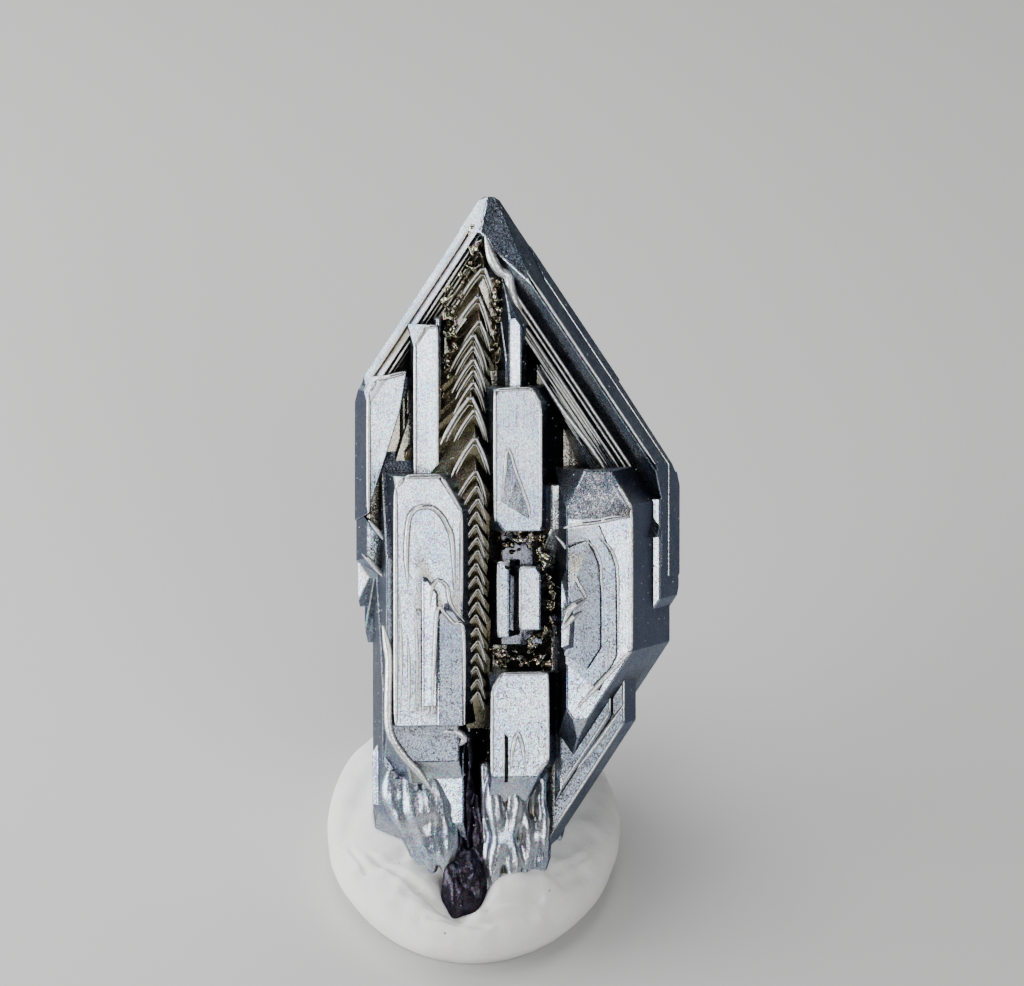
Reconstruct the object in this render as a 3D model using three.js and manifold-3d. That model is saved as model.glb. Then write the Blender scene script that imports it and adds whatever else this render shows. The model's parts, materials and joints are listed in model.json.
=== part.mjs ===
// A skeletal crystal of native tellurium, standing in a pinch of white mineral tack.
// Units are millimetres, +Z is up and the crystal's best side faces -Y. The origin is the
// middle of the flat underside of the tack.
//
// Tellurium grows as six-sided prisms that end in a six-sided pyramid. This one grew faster
// along its edges than on its faces, so it is a bundle of thin plates and columns that all
// share one lattice, with a stepped trench left open between them. Every block below is
// therefore bounded by the same few plane directions, each at its own distance.

import * as THREE from 'three';
import { ConvexGeometry } from 'three/addons/geometries/ConvexGeometry.js';
import { mergeVertices } from 'three/addons/utils/BufferGeometryUtils.js';
import Module from 'manifold-3d';

const wasm = await Module();
wasm.setup();

const DEGREE = Math.PI / 180;

// ---------------------------------------------------------------- driving dimensions

// How the crystal stands: its long axis leans back, and its root starts here in the tack.
const LEAN = 31 * DEGREE;
const AXIS_FOOT = new THREE.Vector3(0.53, -1.42, -0.69);
const ROOT_CUT_HEIGHT = 0.75;

// The lattice: the front face is turned a little to the right, and the pyramid faces make
// a steep point.
const FRONT_AZIMUTH = 12;
const FACE_STEP = 60;
const PYRAMID_TILT = 30.4;
const SIDE_WALL_FLARE = Math.tan(30 * DEGREE);

// Where the pyramid faces would meet, from the axis foot: right, out to the front, up. The
// real point is worn blunt a little below that.
const TIP = { right: -0.05, out: 1.4, up: 20.6 };
const BLUNT_TIP = { up: 20.27, halfWidth: 0.11, tilt: 62 };

// How far each prism face lies from the axis.
const REACH = {
  front: 4.4,
  frontRight: 5.07,
  backRight: 4.1,
  back: 2.4,
  backLeft: 2.99,
  frontLeft: 4.34,
};

// The putty. Its side leans out from the foot to the bulge, then rounds over to the top;
// `roundness` below 1 makes the shoulders fuller than an ellipse.
const PUTTY = {
  halfWidth: 4.15,
  halfDepth: 5.8,
  height: 2.0,
  bulgeHeight: 0.87,
  footShare: 0.9,
  footTurn: 22,
  footRise: 0.75,
  roundness: 0.62,
  rings: 9,
  sides: 56,
};
const POCKET_GAP = 0.3;

// Corners closer than this are one corner in a finished solid.
const MERGE_TOLERANCE = 0.001;

// While a block is worked out: how far outside a plane a corner may lie, how near two
// corners are the same one, and when three planes are too nearly parallel to meet.
const INSIDE_TOLERANCE = 1e-6;
const SAME_CORNER = 1e-5;
const NEARLY_PARALLEL = 1e-9;

// ---------------------------------------------------------------- lattice planes

const AZIMUTH = {
  front: FRONT_AZIMUTH,
  frontRight: FRONT_AZIMUTH + FACE_STEP,
  backRight: FRONT_AZIMUTH + 2 * FACE_STEP,
  back: FRONT_AZIMUTH + 3 * FACE_STEP,
  backLeft: FRONT_AZIMUTH + 4 * FACE_STEP,
  frontLeft: FRONT_AZIMUTH + 5 * FACE_STEP,
};

// The outward direction of a face: azimuth 0 faces the front and 90 the right, and a tilt
// above zero turns the face upward.
function facing(azimuth, tilt = 0) {
  const level = Math.cos(tilt * DEGREE);
  return new THREE.Vector3(
    Math.sin(azimuth * DEGREE) * level,
    -Math.cos(azimuth * DEGREE) * level,
    Math.sin(tilt * DEGREE),
  );
}

// A half space is its outward normal and how far along it the boundary lies.
function through(normal, point) {
  return { normal, offset: normal.dot(point) };
}

// A place in the crystal's own frame, by distance right, out to the front and up.
function place(right, out, up) {
  return new THREE.Vector3(right, -out, up);
}

// A place on a face: along it to the right, out from the axis, and up.
function onFace(azimuth, along, out, up) {
  const outward = facing(azimuth);
  const sideways = facing(azimuth + 90);
  return new THREE.Vector3()
    .addScaledVector(outward, out)
    .addScaledVector(sideways, along)
    .setZ(up);
}

const tipPoint = place(TIP.right, TIP.out, TIP.up);
const pyramid = (name) => through(facing(AZIMUTH[name], PYRAMID_TILT), tipPoint);
const prism = (name) => ({ normal: facing(AZIMUTH[name]), offset: REACH[name] });
const inset = (plane, depth) => ({ normal: plane.normal, offset: plane.offset - depth });
const FACE_NAMES = Object.keys(AZIMUTH);
const STRAIGHT_UP = new THREE.Vector3(0, 0, 1);
const STRAIGHT_DOWN = new THREE.Vector3(0, 0, -1);

// ---------------------------------------------------------------- blocks

// A plate on one of the faces. Its front is parallel to the face; its side walls, its
// shoulders and its heels are lattice planes through the given places. A wall turned by
// UPRIGHT instead goes almost straight back.
const UPRIGHT = 88;

function plate({
  azimuth = AZIMUTH.front, out, thick = 2.2, left, right, top, bottom,
  shoulderLeft, shoulderRight, heelLeft, heelRight, ledge = false, sole = false,
  cornerRight, leftTurn = FACE_STEP, backLimit = [],
}) {
  const leftEdge = (up) => onFace(azimuth, left, out, up);
  const rightEdge = (up) => onFace(azimuth, right, out, up);
  const over = ledge ? STRAIGHT_UP : facing(azimuth, PYRAMID_TILT);
  const under = sole ? STRAIGHT_DOWN : facing(azimuth, -PYRAMID_TILT);
  const planes = [
    { normal: facing(azimuth), offset: out },
    { normal: facing(azimuth).negate(), offset: thick - out },
    through(facing(azimuth - leftTurn), leftEdge(top)),
    through(facing(azimuth + FACE_STEP), rightEdge(top)),
    through(over, onFace(azimuth, 0, out, top)),
    through(under, onFace(azimuth, 0, out, bottom)),
    ...backLimit,
  ];
  if (shoulderLeft !== undefined) {
    planes.push(through(facing(azimuth - FACE_STEP, PYRAMID_TILT), leftEdge(shoulderLeft)));
  }
  if (shoulderRight !== undefined) {
    planes.push(through(facing(azimuth + FACE_STEP, PYRAMID_TILT), rightEdge(shoulderRight)));
  }
  if (heelLeft !== undefined) {
    planes.push(through(facing(azimuth - FACE_STEP, -PYRAMID_TILT), leftEdge(heelLeft)));
  }
  if (heelRight !== undefined) {
    planes.push(through(facing(azimuth + FACE_STEP, -PYRAMID_TILT), rightEdge(heelRight)));
  }
  if (cornerRight !== undefined) {
    const corner = onFace(azimuth, right + cornerRight * SIDE_WALL_FLARE, out - cornerRight, top);
    planes.push(through(facing(azimuth + 2 * FACE_STEP), corner));
    if (heelRight !== undefined) {
      const cornerNormal = facing(azimuth + 2 * FACE_STEP, -PYRAMID_TILT);
      planes.push(through(cornerNormal, corner.setZ(heelRight)));
    }
  }
  return planes;
}

// A block or a pit with a convex outline on a face, listed anticlockwise as seen from in
// front of it. Its sides spread by `flare` for each millimetre of depth.
function outlined({
  azimuth = AZIMUTH.front, out, deep, outline, flare = SIDE_WALL_FLARE, floorLean = 0,
}) {
  const outward = facing(azimuth);
  const [, floorUp] = outline[0];
  const planes = [
    { normal: outward, offset: out },
    through(facing(azimuth, floorLean).negate(), onFace(azimuth, 0, deep, floorUp)),
  ];
  outline.forEach(([along, up], index) => {
    const [nextAlong, nextUp] = outline[(index + 1) % outline.length];
    const here = onFace(azimuth, along, out, up);
    const edge = onFace(azimuth, nextAlong, out, nextUp).sub(here).normalize();
    const normal = edge.cross(outward).addScaledVector(outward, flare).normalize();
    planes.push(through(normal, here));
  });
  return planes;
}

// ---------------------------------------------------------------- the outer crystal

// The core that carries every plate: the full crystal, drawn in behind the open trench.
const CORE = { front: 1.5, frontDrop: 1.55, leftFlank: 1.45, rightFlank: 1.25, backLeft: 2.1 };

function core() {
  return [
    { normal: facing(AZIMUTH.front), offset: CORE.front },
    { normal: facing(AZIMUTH.backLeft), offset: CORE.backLeft },
    prism('frontRight'),
    prism('backRight'),
    prism('back'),
    prism('frontLeft'),
    inset(pyramid('front'), CORE.frontDrop),
    inset(pyramid('frontLeft'), CORE.leftFlank),
    inset(pyramid('frontRight'), CORE.rightFlank),
    pyramid('back'),
    pyramid('backLeft'),
    pyramid('backRight'),
    ...lowerEnd(),
  ];
}

const ROOT_BOTTOM = -1.5;

// Nothing grew past this outer form. Its far left is a narrow face set across the corner.
const FAR_LEFT = { azimuth: FRONT_AZIMUTH - 90, reach: 4.27 };
const LEFT_HEEL = { right: -3.28, out: 2.8, up: 3.7 };
const FORM_RISE = { front: 0.2, back: 0.4, sides: 0.02, backLeft: 0.26 };

function outerForm() {
  const heel = place(LEFT_HEEL.right, LEFT_HEEL.out, LEFT_HEEL.up);
  return [
    ...FACE_NAMES.map((name) => inset(pyramid(name), -FORM_RISE.sides)),
    inset(prism('front'), -FORM_RISE.front),
    inset(prism('back'), -FORM_RISE.back),
    inset(prism('frontRight'), -FORM_RISE.sides),
    inset(prism('backRight'), -FORM_RISE.sides),
    inset(prism('backLeft'), -FORM_RISE.backLeft),
    { normal: facing(FAR_LEFT.azimuth), offset: FAR_LEFT.reach },
    through(facing(AZIMUTH.frontLeft, -PYRAMID_TILT), heel),
    through(STRAIGHT_DOWN, place(0, 0, ROOT_BOTTOM)),
    ...bluntTip(),
  ];
}

function bluntTip() {
  const leftEnd = place(TIP.right - BLUNT_TIP.halfWidth, TIP.out, BLUNT_TIP.up);
  const rightEnd = place(TIP.right + BLUNT_TIP.halfWidth, TIP.out, BLUNT_TIP.up);
  return [
    through(STRAIGHT_UP, leftEnd),
    through(facing(AZIMUTH.front - 90, BLUNT_TIP.tilt), leftEnd),
    through(facing(AZIMUTH.front + 90, BLUNT_TIP.tilt), rightEnd),
  ];
}

// The right outline steps in a little halfway down the flank.
function rimJog() {
  return outlined({ out: 5, deep: -3, flare: 0,
    outline: [[3.4, 15.0], [5.1, 12.36], [5.7, 12.36], [5.7, 15.0]] });
}

// The lower end tapers again from the widest part of each side.
const LOWER_CORNER = { right: 5.29, out: 0, up: 8.75 };
const LOWER_BACK = { along: 0, out: 2.4, up: 6.2 };

function lowerEnd() {
  const corner = place(LOWER_CORNER.right, LOWER_CORNER.out, LOWER_CORNER.up);
  const back = onFace(AZIMUTH.back, LOWER_BACK.along, LOWER_BACK.out, LOWER_BACK.up);
  return [
    through(facing(AZIMUTH.frontRight, -PYRAMID_TILT), corner),
    through(facing(AZIMUTH.backRight, -PYRAMID_TILT), corner),
    through(facing(AZIMUTH.back, -PYRAMID_TILT), back),
    through(STRAIGHT_DOWN, place(0, 0, ROOT_BOTTOM)),
  ];
}

// Each upper edge is a narrow rim that stands proud of the hollow inside it, with treads
// that step down from it. A tread is the pyramid face set in by a depth, and it is cut off
// inward by the face opposite, through a place that is given at this height.
const RIM_MIDDLE_UP = 14.6;

function outAt(plane, right, up) {
  return (plane.normal.x * right + plane.normal.z * up - plane.offset) / plane.normal.y;
}

function tread(surface, riserNormal, innerRight) {
  const inner = place(innerRight, outAt(surface, innerRight, RIM_MIDDLE_UP), RIM_MIDDLE_UP);
  return [surface, through(riserNormal, inner)];
}

// From the right rim a flight of treads climbs inward to the trench: a few wide ones, then
// fine ones. A steep ridge beside the trench ends them all.
const RIGHT_TREADS = {
  rim: 3.39,
  innerMost: 1.55,
  first: 0.28,
  deepest: 1.29,
  wide: 3,
  wideShare: 0.15,
  count: 10,
  toe: 11.6,
  floor: 10.6,
};
const TRENCH_RIDGE = { tilt: -22.8, along: -0.12, out: 2.3, up: 18.0 };

function rightTread(depth, innerRight) {
  const surface = inset(pyramid('frontRight'), depth);
  const toe = onFace(AZIMUTH.front, 0, REACH.front, RIGHT_TREADS.toe);
  return [
    ...tread(surface, facing(AZIMUTH.frontLeft, -PYRAMID_TILT), innerRight),
    prism('front'),
    prism('frontRight'),
    prism('backRight'),
    prism('back'),
    prism('backLeft'),
    pyramid('front'),
    pyramid('frontLeft'),
    pyramid('backRight'),
    pyramid('back'),
    through(facing(AZIMUTH.front, -PYRAMID_TILT), toe),
    through(STRAIGHT_DOWN, place(0, 0, RIGHT_TREADS.floor)),
  ];
}

function treadShare(step) {
  const { wide, wideShare, count } = RIGHT_TREADS;
  if (step <= wide) {
    return wideShare * step;
  }
  return THREE.MathUtils.lerp(wideShare * wide, 1, (step - wide) / (count - wide));
}

function rightFlank() {
  const ridgeNormal = facing(AZIMUTH.front - 90, TRENCH_RIDGE.tilt);
  const ridgePlace = onFace(AZIMUTH.front, TRENCH_RIDGE.along, TRENCH_RIDGE.out, TRENCH_RIDGE.up);
  const ridge = through(ridgeNormal, ridgePlace);
  const blocks = [rightTread(0, RIGHT_TREADS.rim)];
  for (let step = 1; step <= RIGHT_TREADS.count; step += 1) {
    const share = treadShare(step);
    const innerRight = THREE.MathUtils.lerp(RIGHT_TREADS.rim, RIGHT_TREADS.innerMost, share);
    const depth = THREE.MathUtils.lerp(RIGHT_TREADS.first, RIGHT_TREADS.deepest, share);
    blocks.push([ridge, ...rightTread(depth, innerRight)]);
  }
  return blocks;
}

// The upper left is wider than the root, and ends below in its own heel.
const LEFT_SHOULDER = {
  front: 1.9,
  farLeft: 3.99,
  flank: 0.85,
  backRise: 0.25,
  heel: { right: -3.8, out: 1.6, up: 9.9 },
  floor: 8.5,
};

function leftShoulder() {
  const heel = place(LEFT_SHOULDER.heel.right, LEFT_SHOULDER.heel.out, LEFT_SHOULDER.heel.up);
  return [
    { normal: facing(AZIMUTH.front), offset: LEFT_SHOULDER.front },
    { normal: facing(FAR_LEFT.azimuth), offset: LEFT_SHOULDER.farLeft },
    prism('frontLeft'),
    inset(prism('backLeft'), -LEFT_SHOULDER.backRise),
    prism('back'),
    prism('backRight'),
    inset(pyramid('frontLeft'), LEFT_SHOULDER.flank),
    inset(pyramid('front'), LEFT_SHOULDER.flank),
    pyramid('backLeft'),
    pyramid('back'),
    pyramid('backRight'),
    through(facing(AZIMUTH.frontLeft, -PYRAMID_TILT), heel),
    through(facing(AZIMUTH.backLeft, -PYRAMID_TILT), heel),
    through(STRAIGHT_DOWN, place(0, 0, LEFT_SHOULDER.floor)),
  ];
}

// The left rim is a few parallel ridges: how deep each is, and where it ends inward.
const LEFT_RIDGES = [[0, -3.76], [0.07, -3.4], [0.46, -3.1]];
const LEFT_RIM_FLOOR = 12.2;

function leftRidge([depth, innerRight]) {
  const surface = inset(pyramid('frontLeft'), depth);
  return [
    ...tread(surface, facing(AZIMUTH.frontRight, -PYRAMID_TILT), innerRight),
    prism('front'),
    { normal: facing(FAR_LEFT.azimuth), offset: LEFT_SHOULDER.farLeft },
    prism('frontLeft'),
    inset(prism('backLeft'), -LEFT_SHOULDER.backRise),
    prism('back'),
    pyramid('front'),
    pyramid('frontRight'),
    pyramid('backLeft'),
    pyramid('back'),
    pyramid('backRight'),
    through(STRAIGHT_DOWN, place(0, 0, LEFT_RIM_FLOOR)),
  ];
}

// The front right face runs from the plates round to the widest corner.
const RIGHT_SIDE = { front: 3.95, top: 12.3, left: 2.3, toe: 6.6 };

function rightSide() {
  const leftEnd = onFace(AZIMUTH.front, RIGHT_SIDE.left, RIGHT_SIDE.front, RIGHT_SIDE.top);
  const toe = onFace(AZIMUTH.front, 0, REACH.front, RIGHT_SIDE.toe);
  return [
    { normal: facing(AZIMUTH.front), offset: RIGHT_SIDE.front },
    prism('frontRight'),
    prism('backRight'),
    prism('back'),
    prism('backLeft'),
    pyramid('frontRight'),
    pyramid('backRight'),
    pyramid('back'),
    through(STRAIGHT_UP, place(0, 0, RIGHT_SIDE.top)),
    through(facing(AZIMUTH.frontLeft), leftEnd),
    through(facing(AZIMUTH.front, -PYRAMID_TILT), toe),
    ...lowerEnd(),
  ];
}

// ---------------------------------------------------------------- plates and columns

// Plates of the left side: the wing, the blades beside it and the slim columns.
const WING_FLARE = 0.03;
const BLADE_FLARE = 0.1;
const WING_FOOT_REACH = 4.06;

function leftPlates() {
  return [
    outlined({ out: 2.3, deep: 0.5, flare: WING_FLARE,
      outline: [
        [-4.05, 11.35], [-3.6, 12.74], [-3.13, 14.2], [-2.92, 15.4], [-3.8, 15.2], [-4.04, 14.8],
      ] }),
    outlined({ out: 2.05, deep: 0.5, flare: BLADE_FLARE,
      outline: [[-3.4, 11.2], [-2.7, 11.4], [-2.65, 14.1], [-2.8, 14.2], [-3.25, 12.8]] }),
    plate({ out: 1.8, left: -3.5, right: -2.3, top: 14.9, bottom: 11.2, leftTurn: UPRIGHT }),
    plate({ out: 2.6, left: -2.27, right: -2.1, top: 16.5, bottom: 12.4, thick: 0.62,
      shoulderLeft: 16.45, ledge: true }),
    plate({ out: 2.0, left: -2.62, right: -1.95, top: 16.3, bottom: 12.3, thick: 2.0,
      leftTurn: UPRIGHT, ledge: true }),
    plate({ out: 2.46, left: -2.1, right: -2.0, top: 16.9, bottom: 12.2, thick: 2.4,
      leftTurn: UPRIGHT, ledge: true }),
    plate({ out: 2.25, left: -2.0, right: -1.62, top: 17.0, bottom: 12.2, thick: 2.2,
      leftTurn: UPRIGHT, ledge: true }),
    plate({ out: 2.0, left: -1.66, right: -1.45, top: 17.5, bottom: 12.2, thick: 1.9,
      leftTurn: UPRIGHT, ledge: true }),
    [
      ...outlined({ out: 2.2, deep: 0.6, flare: BLADE_FLARE,
        outline: [[-4.05, 10.1], [-3.45, 9.6], [-3.5, 10.4], [-4.05, 11.15], [-4.2, 10.9]] }),
      { normal: facing(FAR_LEFT.azimuth), offset: WING_FOOT_REACH },
    ],
  ];
}

// The tall arched plate to the left of the trench, with an open hopper in its face.
const ARCHED = { out: 3.9, left: -3.58, right: -1.66, top: 12.52, bottom: 5.45, leftTurn: 92 };
const ARCH_HOPPER = { out: 3.9, deep: 3.88, flare: -0.5, floorLean: -6 };

function archedPlate() {
  return [
    plate({ ...ARCHED, shoulderLeft: 12.2, shoulderRight: 11.5, ledge: true, sole: true,
      thick: 3.4 }),
    plate({ out: 4.02, left: -2.36, right: -1.66, top: 8.72, bottom: 5.45, shoulderRight: 8.3,
      shoulderLeft: 8.6, sole: true, thick: 1 }),
    plate({ out: 3.98, left: -2.8, right: -2.4, top: 9.55, bottom: 6.0, shoulderRight: 9.2,
      sole: true, thick: 1 }),
  ];
}

function archedHopper() {
  return outlined({
    ...ARCH_HOPPER,
    outline: [
      [-2.95, 8.6], [-2.1, 9.3], [-2.02, 10.8], [-2.22, 11.35], [-2.6, 11.68], [-2.9, 11.6],
      [-3.2, 11.2], [-3.25, 9.6],
    ],
  });
}

// Below the arched plate a long ridge carries on to the root. Its left wall is overturned.
const LEFT_RIDGE_TURN = 95.5;

function lowerLeftPlates() {
  const backLimit = [prism('backLeft')];
  return [
    plate({ out: 3.6, left: -3.78, right: -1.7, top: 10.2, bottom: 4.4, heelLeft: 5.25,
      thick: 4.5, leftTurn: LEFT_RIDGE_TURN, backLimit }),
    plate({ out: 2.9, left: -3.75, right: -1.2, top: 6.4, bottom: 2.2, heelLeft: 2.6, thick: 4,
      leftTurn: LEFT_RIDGE_TURN, backLimit }),
    plate({ out: 3.3, left: -2.6, right: -1.5, top: 4.6, bottom: 2.6, shoulderLeft: 4.5, thick: 2 }),
    plate({ out: 2.75, left: -2.5, right: -1.3, top: 3.8, bottom: -1.4, sole: true, thick: 3,
      ledge: true, leftTurn: UPRIGHT }),
  ];
}

// Columns and plates to the right of the trench, from the point down to the root.
function rightColumns() {
  const leftTurn = UPRIGHT;
  return [
    plate({ out: 3.15, left: -0.15, right: 0.2, top: 16.9, bottom: 14.5, shoulderRight: 16.7,
      thick: 2.4, leftTurn }),
    plate({ out: 2.9, left: -0.2, right: 0.35, top: 15.7, bottom: 14.2, thick: 2.2, leftTurn }),
    plate({ out: 3.7, left: -0.67, right: 0.66, top: 14.95, bottom: 10.9, shoulderLeft: 14.75,
      shoulderRight: 14.5, heelLeft: 11.3, sole: true, thick: 3.2, ledge: true, leftTurn }),
    plate({ out: 2.8, left: -0.3, right: 1.0, top: 12.0, bottom: 7.6, thick: 2.5, sole: true }),
    plate({ out: 3.7, left: -0.59, right: -0.28, top: 10.05, bottom: 7.9, thick: 2.4,
      ledge: true, sole: true, leftTurn }),
    plate({ out: 3.75, left: 0.04, right: 0.62, top: 9.9, bottom: 8.1, thick: 2.4, ledge: true,
      sole: true, shoulderRight: 9.7, leftTurn }),
    plate({ out: 3.9, left: -0.8, right: 0.83, top: 6.9, bottom: 3.95, shoulderLeft: 6.45,
      heelRight: 4.4, thick: 3.4, ledge: true, leftTurn }),
    plate({ out: 3.4, left: -0.75, right: 0.4, top: 4.4, bottom: 0.3, thick: 3, heelLeft: 2.0 }),
    plate({ out: 3.45, left: 0.31, right: 0.85, top: 3.4, bottom: -1.4, thick: 3, sole: true,
      shoulderRight: 3.1, cornerRight: 0.4 }),
    plate({ out: 2.9, left: -1.0, right: 0.9, top: 7.0, bottom: -1.4, thick: 4.4, sole: true,
      cornerRight: 0.9 }),
  ];
}

// Pits left between those columns: the notched hopper in the tall one, a dark hole below
// it and the slots of the lower plate.
function rightColumnPits() {
  return [
    outlined({ out: 3.7, deep: 3.55, flare: -0.3,
      outline: [[-0.5, 11.75], [0.3, 11.25], [0.33, 11.6], [-0.28, 13.25]] }),
    outlined({ out: 3.9, deep: 2.9, flare: -0.1,
      outline: [[-0.42, 9.85], [0.0, 9.7], [0.06, 10.35], [-0.3, 10.45]] }),
    outlined({ out: 3.9, deep: 3.2, flare: -0.05,
      outline: [[-0.24, 8.1], [0.0, 8.0], [0.02, 9.6], [-0.2, 9.7]] }),
    outlined({ out: 3.9, deep: 3.5, flare: -0.05,
      outline: [[-0.44, 3.8], [-0.33, 3.8], [-0.33, 5.1], [-0.44, 5.2]] }),
  ];
}

// The broad plate at the right, whose face is stepped by old growth outlines.
const BROAD = { out: 4.4, left: 1.25, right: 3.13, top: 12.62 };
const BROAD_BROW = { up: 11.25, tilt: 13 };

const BROAD_TERRACES = [
  { deep: 4.28, flare: -0.12,
    outline: [[1.2, 7.2], [2.2, 6.4], [2.72, 7.4], [2.72, 9.9], [2.2, 11.1], [1.3, 11.0]] },
  { deep: 4.14, flare: -0.12,
    outline: [[1.2, 7.4], [1.9, 7.0], [2.3, 7.6], [2.3, 9.8], [1.95, 10.7], [1.3, 10.6]] },
  { deep: 3.8, flare: -0.2,
    outline: [[1.0, 7.4], [1.55, 7.6], [1.6, 8.5], [1.4, 9.3], [1.2, 10.3], [1.0, 10.4]] },
];

function broadPlate() {
  const brow = onFace(AZIMUTH.front, 0, BROAD.out, BROAD_BROW.up);
  return [
    [
      ...plate({ ...BROAD, bottom: 5.6, shoulderRight: 11.6, shoulderLeft: 11.5, heelRight: 7.5,
        heelLeft: 5.9, ledge: true, thick: 3.2, leftTurn: UPRIGHT }),
      through(facing(AZIMUTH.front, BROAD_BROW.tilt), brow),
    ],
    plate({ out: 3.5, left: 1.0, right: 2.2, top: 12.2, bottom: 10.9, ledge: true, thick: 2.6 }),
  ];
}

function broadPlateSteps() {
  return BROAD_TERRACES.map((terrace) => outlined({ out: BROAD.out, ...terrace }));
}

// A second crystal end below the broad plate, set further back.
function lowerRightBlock() {
  return [
    plate({ out: 3.2, left: 1.1, right: 3.18, top: 8.2, bottom: 1.6, heelRight: 5.35, thick: 4.4,
      cornerRight: 1.0 }),
    plate({ out: 3.45, left: 1.3, right: 2.72, top: 7.6, bottom: 3.4, heelRight: 5.6, thick: 2.6,
      cornerRight: 0.8 }),
  ];
}

// ---------------------------------------------------------------- the trench

// Growth steps climb the trench as a stack of pointed arches. Each is one shape, drawn to
// its own width. In the upper trench each has its own place: how far along its point is,
// how far out, how far up, and its width. Below, they follow at an even pitch.
const UPPER_STEPS = [
  [-0.72, 1.75, 18.75, 0.8], [-0.66, 2.05, 18.31, 1.25], [-0.84, 2.2, 17.51, 1.2],
  [-0.83, 2.3, 16.81, 0.9], [-1.02, 2.4, 16.43, 1.1], [-1.04, 2.5, 16.1, 0.85],
  [-1.06, 2.6, 15.74, 1.0], [-1.07, 2.65, 15.43, 0.85], [-1.09, 2.75, 15.1, 0.95],
  [-1.2, 2.9, 14.7, 1.4], [-1.11, 3.0, 14.33, 0.95], [-1.14, 3.2, 13.55, 1.15],
  [-1.15, 3.35, 12.63, 0.95],
];
const LOWER_STEPS = { along: -1.13, out: 3.4, first: 12.2, pitch: 0.365, count: 17, width: 0.62 };

// One step: its front leans back under two roof faces. A leg's angle is that of its roof's
// direction above level. The rest is measured from the point of an arch of width 1.
const ARCH = {
  leftLeg: 38,
  rightLeg: 24,
  roofTilt: 30,
  frontLean: -24,
  left: -0.95,
  right: 0.62,
  thick: 1.2,
  tall: 1.9,
};

function roofNormal(legAngle, side) {
  return facing(AZIMUTH.front + 90)
    .multiplyScalar(side * Math.cos(legAngle * DEGREE))
    .addScaledVector(STRAIGHT_UP, Math.sin(legAngle * DEGREE))
    .multiplyScalar(Math.cos(ARCH.roofTilt * DEGREE))
    .addScaledVector(facing(AZIMUTH.front), Math.sin(ARCH.roofTilt * DEGREE));
}

function trenchStep([along, out, up, width]) {
  const azimuth = AZIMUTH.front;
  const point = onFace(azimuth, along, out, up);
  const leftEnd = onFace(azimuth, along + ARCH.left * width, out, up);
  const rightEnd = onFace(azimuth, along + ARCH.right * width, out, up);
  return [
    through(facing(azimuth, ARCH.frontLean), point),
    through(facing(azimuth).negate(), onFace(azimuth, along, out - ARCH.thick * width, up)),
    through(roofNormal(ARCH.leftLeg, -1), point),
    through(roofNormal(ARCH.rightLeg, 1), point),
    through(facing(azimuth - FACE_STEP), leftEnd),
    through(facing(azimuth + 90), rightEnd),
    through(STRAIGHT_DOWN, place(0, 0, up - ARCH.tall * width)),
  ];
}

function trenchSteps() {
  const { along, out, first, pitch, count, width } = LOWER_STEPS;
  const lower = Array.from({ length: count }, (_, step) => [along, out, first - step * pitch, width]);
  return [...UPPER_STEPS, ...lower].map(trenchStep);
}

// ---------------------------------------------------------------- the back

// The hidden side grew the same way: three parallel plates with a shallow trench.
function backPlates() {
  const azimuth = AZIMUTH.back;
  return [
    plate({ azimuth, out: 2.75, left: -3.2, right: -0.9, top: 12.6, bottom: 5.2,
      shoulderLeft: 11.2, heelLeft: 7.0 }),
    plate({ azimuth, out: 2.65, left: -0.1, right: 1.5, top: 13.1, bottom: 6.4,
      shoulderRight: 12.4, heelRight: 7.2 }),
    plate({ azimuth: AZIMUTH.backLeft, out: 3.1, left: -0.6, right: 1.4, top: 12.6, bottom: 4.2,
      shoulderLeft: 12.4, heelRight: 6 }),
  ];
}

// ---------------------------------------------------------------- solids

// The corners of a block are the places where three of its planes meet inside all others.
function corners(planes) {
  const found = [];
  for (let i = 0; i < planes.length; i += 1) {
    for (let j = i + 1; j < planes.length; j += 1) {
      for (let k = j + 1; k < planes.length; k += 1) {
        const point = meetingPoint(planes[i], planes[j], planes[k]);
        const inside = point && planes.every((plane) => {
          return plane.normal.dot(point) <= plane.offset + INSIDE_TOLERANCE;
        });
        if (inside && !found.some((other) => other.distanceTo(point) < SAME_CORNER)) {
          found.push(point);
        }
      }
    }
  }
  return found;
}

function meetingPoint(first, second, third) {
  const turn = second.normal.clone().cross(third.normal);
  const determinant = first.normal.dot(turn);
  if (Math.abs(determinant) < NEARLY_PARALLEL) {
    return null;
  }
  return turn
    .multiplyScalar(first.offset)
    .addScaledVector(third.normal.clone().cross(first.normal), second.offset)
    .addScaledVector(first.normal.clone().cross(second.normal), third.offset)
    .divideScalar(determinant);
}

function solidFrom(geometry) {
  const bare = new THREE.BufferGeometry();
  bare.setAttribute('position', geometry.getAttribute('position'));
  if (geometry.index) {
    bare.setIndex(geometry.index);
  }
  const merged = mergeVertices(bare, SAME_CORNER);
  return new wasm.Manifold(new wasm.Mesh({
    numProp: 3,
    vertProperties: new Float32Array(merged.getAttribute('position').array),
    triVerts: new Uint32Array(merged.index.array),
  }));
}

function blockSolid(planes, grown = 0) {
  const spread = planes.map((plane) => inset(plane, -grown));
  return solidFrom(new ConvexGeometry(corners(spread)));
}

function joined(blocks, grown = 0) {
  return blocks
    .map((planes) => blockSolid(planes, grown))
    .reduce((whole, next) => whole.add(next));
}

function geometryFrom(solid) {
  const mesh = solid.getMesh();
  const geometry = new THREE.BufferGeometry();
  const places = new Float32Array(mesh.vertProperties);
  geometry.setAttribute('position', new THREE.BufferAttribute(places, 3));
  geometry.setIndex(new THREE.BufferAttribute(new Uint32Array(mesh.triVerts), 1));
  return geometry;
}

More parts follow.
